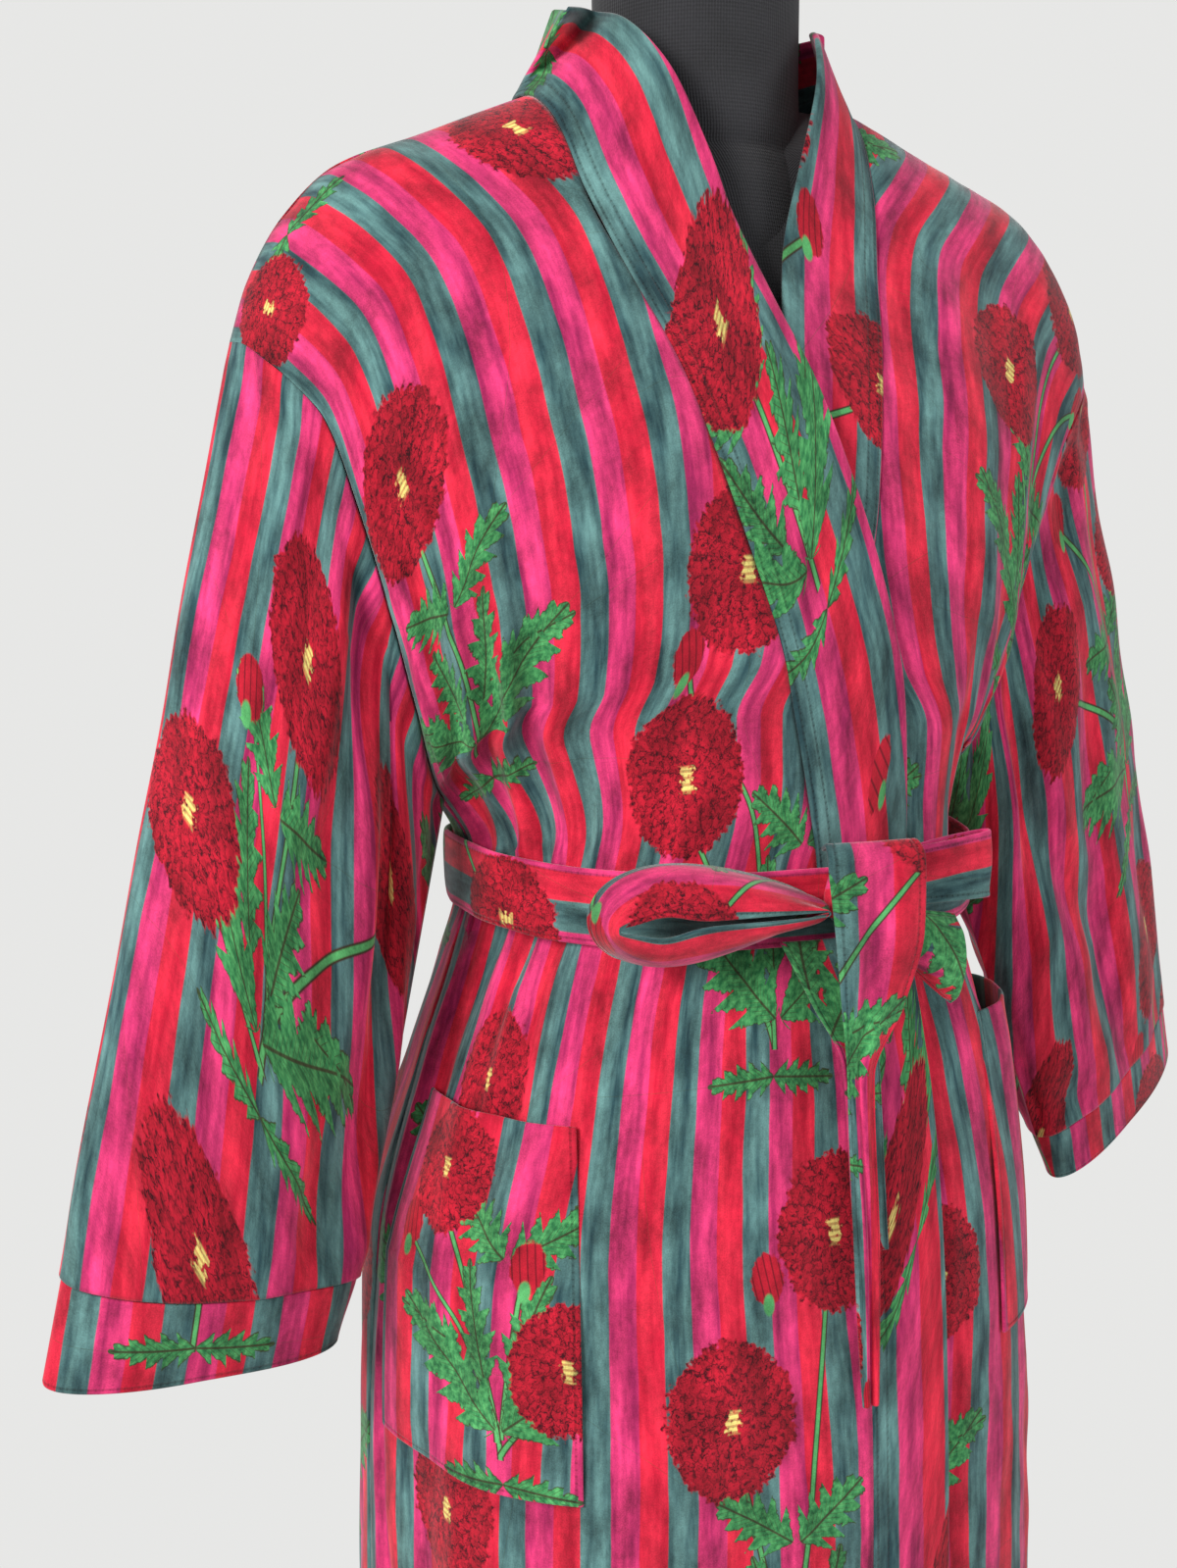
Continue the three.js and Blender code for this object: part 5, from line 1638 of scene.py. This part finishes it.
def flower(x, y, rough, places):
    """How much of the ground a flower covers, and its colour."""
    far, dx, dy = nearest_flower(x, y, places)
    drift = speckle(x, y, 14, 1.0)
    out = Sum.math("SQRT", far) + (rough - 0.5) * 0.2 + (drift - 0.5) * 0.16
    angle = Sum.math("ARCTAN2", dy, dx)
    ring_place = (out + (rough - 0.5) * 0.22) * 6.4
    ring = rounded_down(ring_place)
    inside_ring = ring_place - ring
    petal = abs(wave(angle * (ring * 1.5 + 2.5) + ring * 1.7 + (rough - 0.5) * 2.2 + (drift - 0.5) * 3))
    tip = petal * 0.4 + 0.38 + drift * 0.24
    drawn_tip = under(abs(inside_ring - tip), 0.1, 0.08)
    drawn_gap = under(petal, 0.16, 0.12) * under(inside_ring, 0.75, 0.2)
    hatch = limited(wave(angle * 46 + ring) * 1.4 - 0.5, 0, 1) * under(inside_ring, 0.35, 0.2) * 0.5
    ink = most(most(drawn_tip, drawn_gap), hatch)
    beyond = limited((inside_ring - tip) * 3, 0, 1) * 0.35
    worn_ink = (ink * 0.8 + beyond) * (0.5 + drift) + (0.55 - rough) * 1.3
    colour = paint(limited(worn_ink, 0, 1), FLOWER, FLOWER_DEEP)
    ladder = under(wave(dy * 80), 0.2, 0.4)
    centre = under(abs(dx + (rough - 0.5) * 0.3), 0.085, 0.03)
    centre = centre * under(abs(dy + (drift - 0.5) * 0.1), 0.15, 0.03)
    colour = paint(centre * (ladder * 0.5 + 0.45), colour, POLLEN)
    frayed = abs(wave(angle * 23)) * 0.03 + 0.97
    covers = under(out, frayed, 0.025)
    return covers, colour


# %% Leaves, stems and the whole plant
# Each pair of leaves: its foot (x, y), how it leans in degrees, its length and half width
LEAF_PAIRS = (
    (2, 14, 37, 82, 16), (2, 96, 34, 46, 12), (7, 34, 74, 60, 10), (30, 48, 14, 42, 10), (0, -12, -4, 40, 7),
)
BUD_WIDE, BUD_TALL = 9, 12.5


def leaf_pair(x, y, rough, foot_x, foot_y, lean, length, half_wide):
    """A toothed leaf: how far inside it a point is, across it and along it."""
    cos, sin = math.cos(math.radians(lean)), math.sin(math.radians(lean))
    dx, dy = x - foot_x, y - foot_y
    along = dx * cos + dy * sin
    across = abs(dy * cos - dx * sin)
    share = limited(along * (1 / length), 0, 1)
    teeth = wrap(share * 5.4 - across * 0.02, 1) * 0.8 + 0.48 + (rough - 0.5) * 0.5
    full = Sum.math("SQRT", share * (1 - share)) * (1.25 - share * 0.5)
    return full * teeth * (2 * half_wide) - across, across, along


def leaves(x, y, rough):
    best = None
    beside = abs(x + wave(y * 0.024) * 5)
    for row in LEAF_PAIRS:
        found = leaf_pair(beside, y, rough, *row)
        if best is None:
            best = found
        else:
            over = steps_over(found[0], best[0])
            best = tuple(pick(over, old, new) for old, new in zip(best, found))
    inside, across, along = best
    vein = under(abs(wave((along - across * 1.3) * 0.95)), 0.2, 0.16) * under(across, 5.5, 2)
    rib = under(across, 0.55, 0.3)
    edge = under(inside, 0.7, 0.4)
    ink = limited(most(most(vein * 0.75, rib), edge), 0, 1)
    green = paint(limited(rough * 2 - 0.6, 0, 1), LEAF_DEEP, LEAF)
    return 1 - under(inside, 0, 0.3), paint(ink * 0.85, green, OUTLINE)


def stem_cover(x, y, foot_x, foot_y, top_x, top_y, bow):
    share = limited((y - foot_y) * (1 / (top_y - foot_y)), 0, 1)
    line = Sum.math("POWER", share, bow) * (top_x - foot_x) + foot_x
    slant = math.hypot(1, (top_x - foot_x) / (top_y - foot_y))
    beside = abs(x - line) * (1 / slant)
    ends = steps_over(y, foot_y) * steps_over(top_y, y)
    return under(beside, 1.7, 0.35) * ends, under(beside, 1.0, 0.35)


def plants(x, y, ground, rough, plan):
    """Leaves repeat over the cloth; stems, buds and flowers stand where the plan says."""
    column = rounded_down(x * (1 / PLANT_WIDE) + 0.5)
    odd = wrap(column, 2)
    cell_x = (x - column * PLANT_WIDE) * (1 - odd * 2)
    cell_y = wrap(y + odd * (PLANT_HIGH / 2), PLANT_HIGH - 40, -40)
    plan_x, plan_y = (cell_x, cell_y) if plan is REPEAT else (x, y)
    colour = ground
    for row in plan["stems"]:
        covers, core = stem_cover(plan_x, plan_y, *row)
        stem_colour = paint(core, OUTLINE, LEAF)
        colour = paint(covers, colour, stem_colour)
    covers, leaf_colour = leaves(cell_x, cell_y, rough)
    colour = paint(covers, colour, leaf_colour)
    for bud_x, bud_y in plan["buds"]:
        dx, dy = (plan_x - bud_x) * (1 / BUD_WIDE), (plan_y - bud_y) * (1 / BUD_TALL)
        bud = length_of(dx, dy) + (rough - 0.5) * 0.3
        ink = under(abs(wave(dx * 7 + dy * 2)), 0.3, 0.2)
        green_cup = under(length_of(dx * 1.2, dy + 0.95), 0.42, 0.08)
        colour = paint(under(bud, 1, 0.06), colour, paint(ink * 0.7, FLOWER, FLOWER_DEEP))
        colour = paint(green_cup, colour, LEAF)
    covers, flower_colour = flower(plan_x, plan_y, rough, plan["flowers"])
    return paint(covers, colour, flower_colour)


# %% Finishes
def new_material(name):
    material = bpy.data.materials.new(name)
    material.use_nodes = True
    Sum.tree = material.node_tree
    Sum.tree.nodes.clear()
    return material


def finish_shader(name, colour, height, strength, distance, **settings):
    """The shader of the material in hand, with its bump; colour is a socket."""
    bump = Sum.node("ShaderNodeBump")
    bump.inputs["Strength"].default_value = strength
    bump.inputs["Distance"].default_value = distance
    Sum.tree.links.new(height.socket, bump.inputs["Height"])
    shader = Sum.node("ShaderNodeBsdfPrincipled")
    Sum.tree.links.new(colour, shader.inputs["Base Color"])
    Sum.tree.links.new(bump.outputs[0], shader.inputs["Normal"])
    for setting, value in settings.items():
        shader.inputs[setting.replace("_", " ")].default_value = value
    out = Sum.node("ShaderNodeOutputMaterial")
    Sum.tree.links.new(shader.outputs[0], out.inputs["Surface"])
    print(name, "nodes:", len(Sum.tree.nodes))


# %% The velvet itself
def velvet(name, stitch_lines=(), plan=REPEAT):
    """Printed velvet. stitch_lines are distances from the stitched edge in millimetres."""
    material = new_material(name)
    x, y = map_place("Cloth")
    streak = speckle(x, y * 0.14, 8, 3.0, 0.6)
    rough = speckle(x, y, 3.2, 2.0)
    nap_sheen_patch = speckle(x, y * 0.6, 20, 3.0, 0.6)
    grain = speckle(x, y, 0.75, 1.0)
    plant_x, plant_y = map_place("Plant")
    colour = plants(plant_x, plant_y, stripes(x, y, streak), rough, plan)
    # Painted sheen: the large patches lighten and darken the pile like brushed nap catching light. The grain
    # and rough noise are random tone of the pile.
    light = (nap_sheen_patch - 0.5) * 1.8 + (grain - 0.5) * 0.55 + (rough - 0.5) * 0.4 + 0.98
    colour = shade(colour, limited(light, 0.45, 1.7))
    height = grain * 0.35 + rough * 0.4
    if stitch_lines:
        edge, along = map_place("Stitch")
        stitch_groove = None
        for line in stitch_lines:
            groove = under(abs(edge - line), 0.55, 0.4)
            stitch_groove = groove if stitch_groove is None else most(stitch_groove, groove)
        dash = 1 - under(wrap(along, 3.2), 0.7, 0.25)
        # Painted shade: the stitch line is darkened in its pressed groove, most in the gaps between the
        # thread dashes.
        colour = shade(colour, 1 - stitch_groove * (0.5 - dash * 0.22))
        height = height - stitch_groove * 1.6 + stitch_groove * dash * 0.8
    finish_shader(
        name, colour, height, 0.55, 0.0006, Roughness=0.86, Specular_IOR_Level=0.22,
        Sheen_Weight=0.34, Sheen_Roughness=0.38, Sheen_Tint=(1.0, 0.9, 0.92, 1),
    )
    return material


body_velvet = velvet("body_velvet")
front_velvet = velvet("front_velvet", plan=FRONT_PLAN)
sleeve_velvet = velvet("sleeve_velvet", plan=SLEEVE_PLAN)
pocket_velvet = velvet("pocket_velvet", stitch_lines=(3.0,), plan=POCKET_PLAN)
neckband_velvet = velvet("neckband_velvet", stitch_lines=(2.6, 8.5), plan=BAND_PLAN)
cuff_velvet = velvet("cuff_velvet", stitch_lines=(2.2,))
band_velvet = velvet("band_velvet", stitch_lines=(2.6, 8.5))
belt_velvet = velvet("belt_velvet", stitch_lines=(3.0,))

# %% [markdown]
# ## Jersey, metal and floor
# The form's cover is a black jersey with fine ribs. The stand is painted steel.


# %% Jersey and metal
jersey = new_material("black_jersey")
x, y = map_place("Cloth")
rib = wave(x * (2 * math.pi / 1.5))
row_line = wave(y * (2 * math.pi / 1.9))
fuzz = speckle(x, y, 1.4, 2.0)
cloud = speckle(x, y, 26, 2.0)
# Painted shade and light: the rib and row waves darken the knit's valleys and lighten its ridges. The fuzz
# and cloud are random tone.
knit_tone_and_rib_shade = limited(rib * 0.25 + row_line * 0.12 + fuzz * 0.5 + cloud * 0.6, 0, 1)
knit_colour = paint(knit_tone_and_rib_shade, dye(20, 20, 23), dye(48, 48, 53))
knit_height = rib * 0.6 + row_line * 0.3 + fuzz * 0.4
finish_shader(
    "black_jersey", knit_colour, knit_height, 0.5, 0.0005,
    Roughness=0.9, Sheen_Weight=0.16, Sheen_Roughness=0.5,
)


def object_place():
    source = Sum.node("ShaderNodeTexCoord")
    split = Sum.node("ShaderNodeSeparateXYZ")
    Sum.tree.links.new(source.outputs["Object"], split.inputs[0])
    return Sum(split.outputs[0]) * 1000, Sum(split.outputs[1]) * 1000, Sum(split.outputs[2]) * 1000


stand_paint = new_material("satin_black_steel")
x, y, z = object_place()
scuff = speckle(x + z * 0.4, y - z * 0.3, 22, 4.0, 0.7)
steel_colour = paint(scuff, dye(26, 26, 28), dye(50, 50, 52))
finish_shader(
    "satin_black_steel", steel_colour, scuff, 0.12, 0.0004, Roughness=0.42, Specular_IOR_Level=0.5,
)

floor_paint = new_material("pale_floor")
x, y, z = object_place()
cloud = speckle(x, y, 600, 2.0)
floor_colour = paint(cloud, dye(222, 222, 220), dye(230, 230, 228))
finish_shader("pale_floor", floor_colour, cloud, 0.02, 0.001, Roughness=0.8)

WEARS = {
    "pocket": pocket_velvet, "cuff": cuff_velvet, "neckband": band_velvet, "belt": belt_velvet,
    "bow": belt_velvet, "form": jersey, "foot": stand_paint, "pole": stand_paint,
}
WEARS_BY_NAME = {
    "front_right_cloth": front_velvet, "sleeve_right_cloth": sleeve_velvet,
    "neckband_right_cloth": neckband_velvet,
}
for name, piece in made_pieces.items():
    finish = WEARS_BY_NAME.get(name, WEARS.get(name.split("_")[0], body_velvet))
    piece.data.materials.append(finish)
print("finished:", len(made_pieces), "pieces")

# %% [markdown]
# ## Floor and the end
# The floor is a pale disc round the stand, just small enough to stay below this close view, and it
# isn't part of the object. There is no wall behind, so the robe can be seen from every side.

# %% Floor
FLOOR_RADIUS = 0.98
bm = bmesh.new()
bmesh.ops.create_circle(bm, cap_ends=True, radius=FLOOR_RADIUS, segments=96)
floor_mesh = bpy.data.meshes.new("floor")
bm.to_mesh(floor_mesh)
bm.free()
floor = bpy.data.objects.new("floor", floor_mesh)
bpy.context.scene.collection.objects.link(floor)
floor_mesh.materials.append(floor_paint)
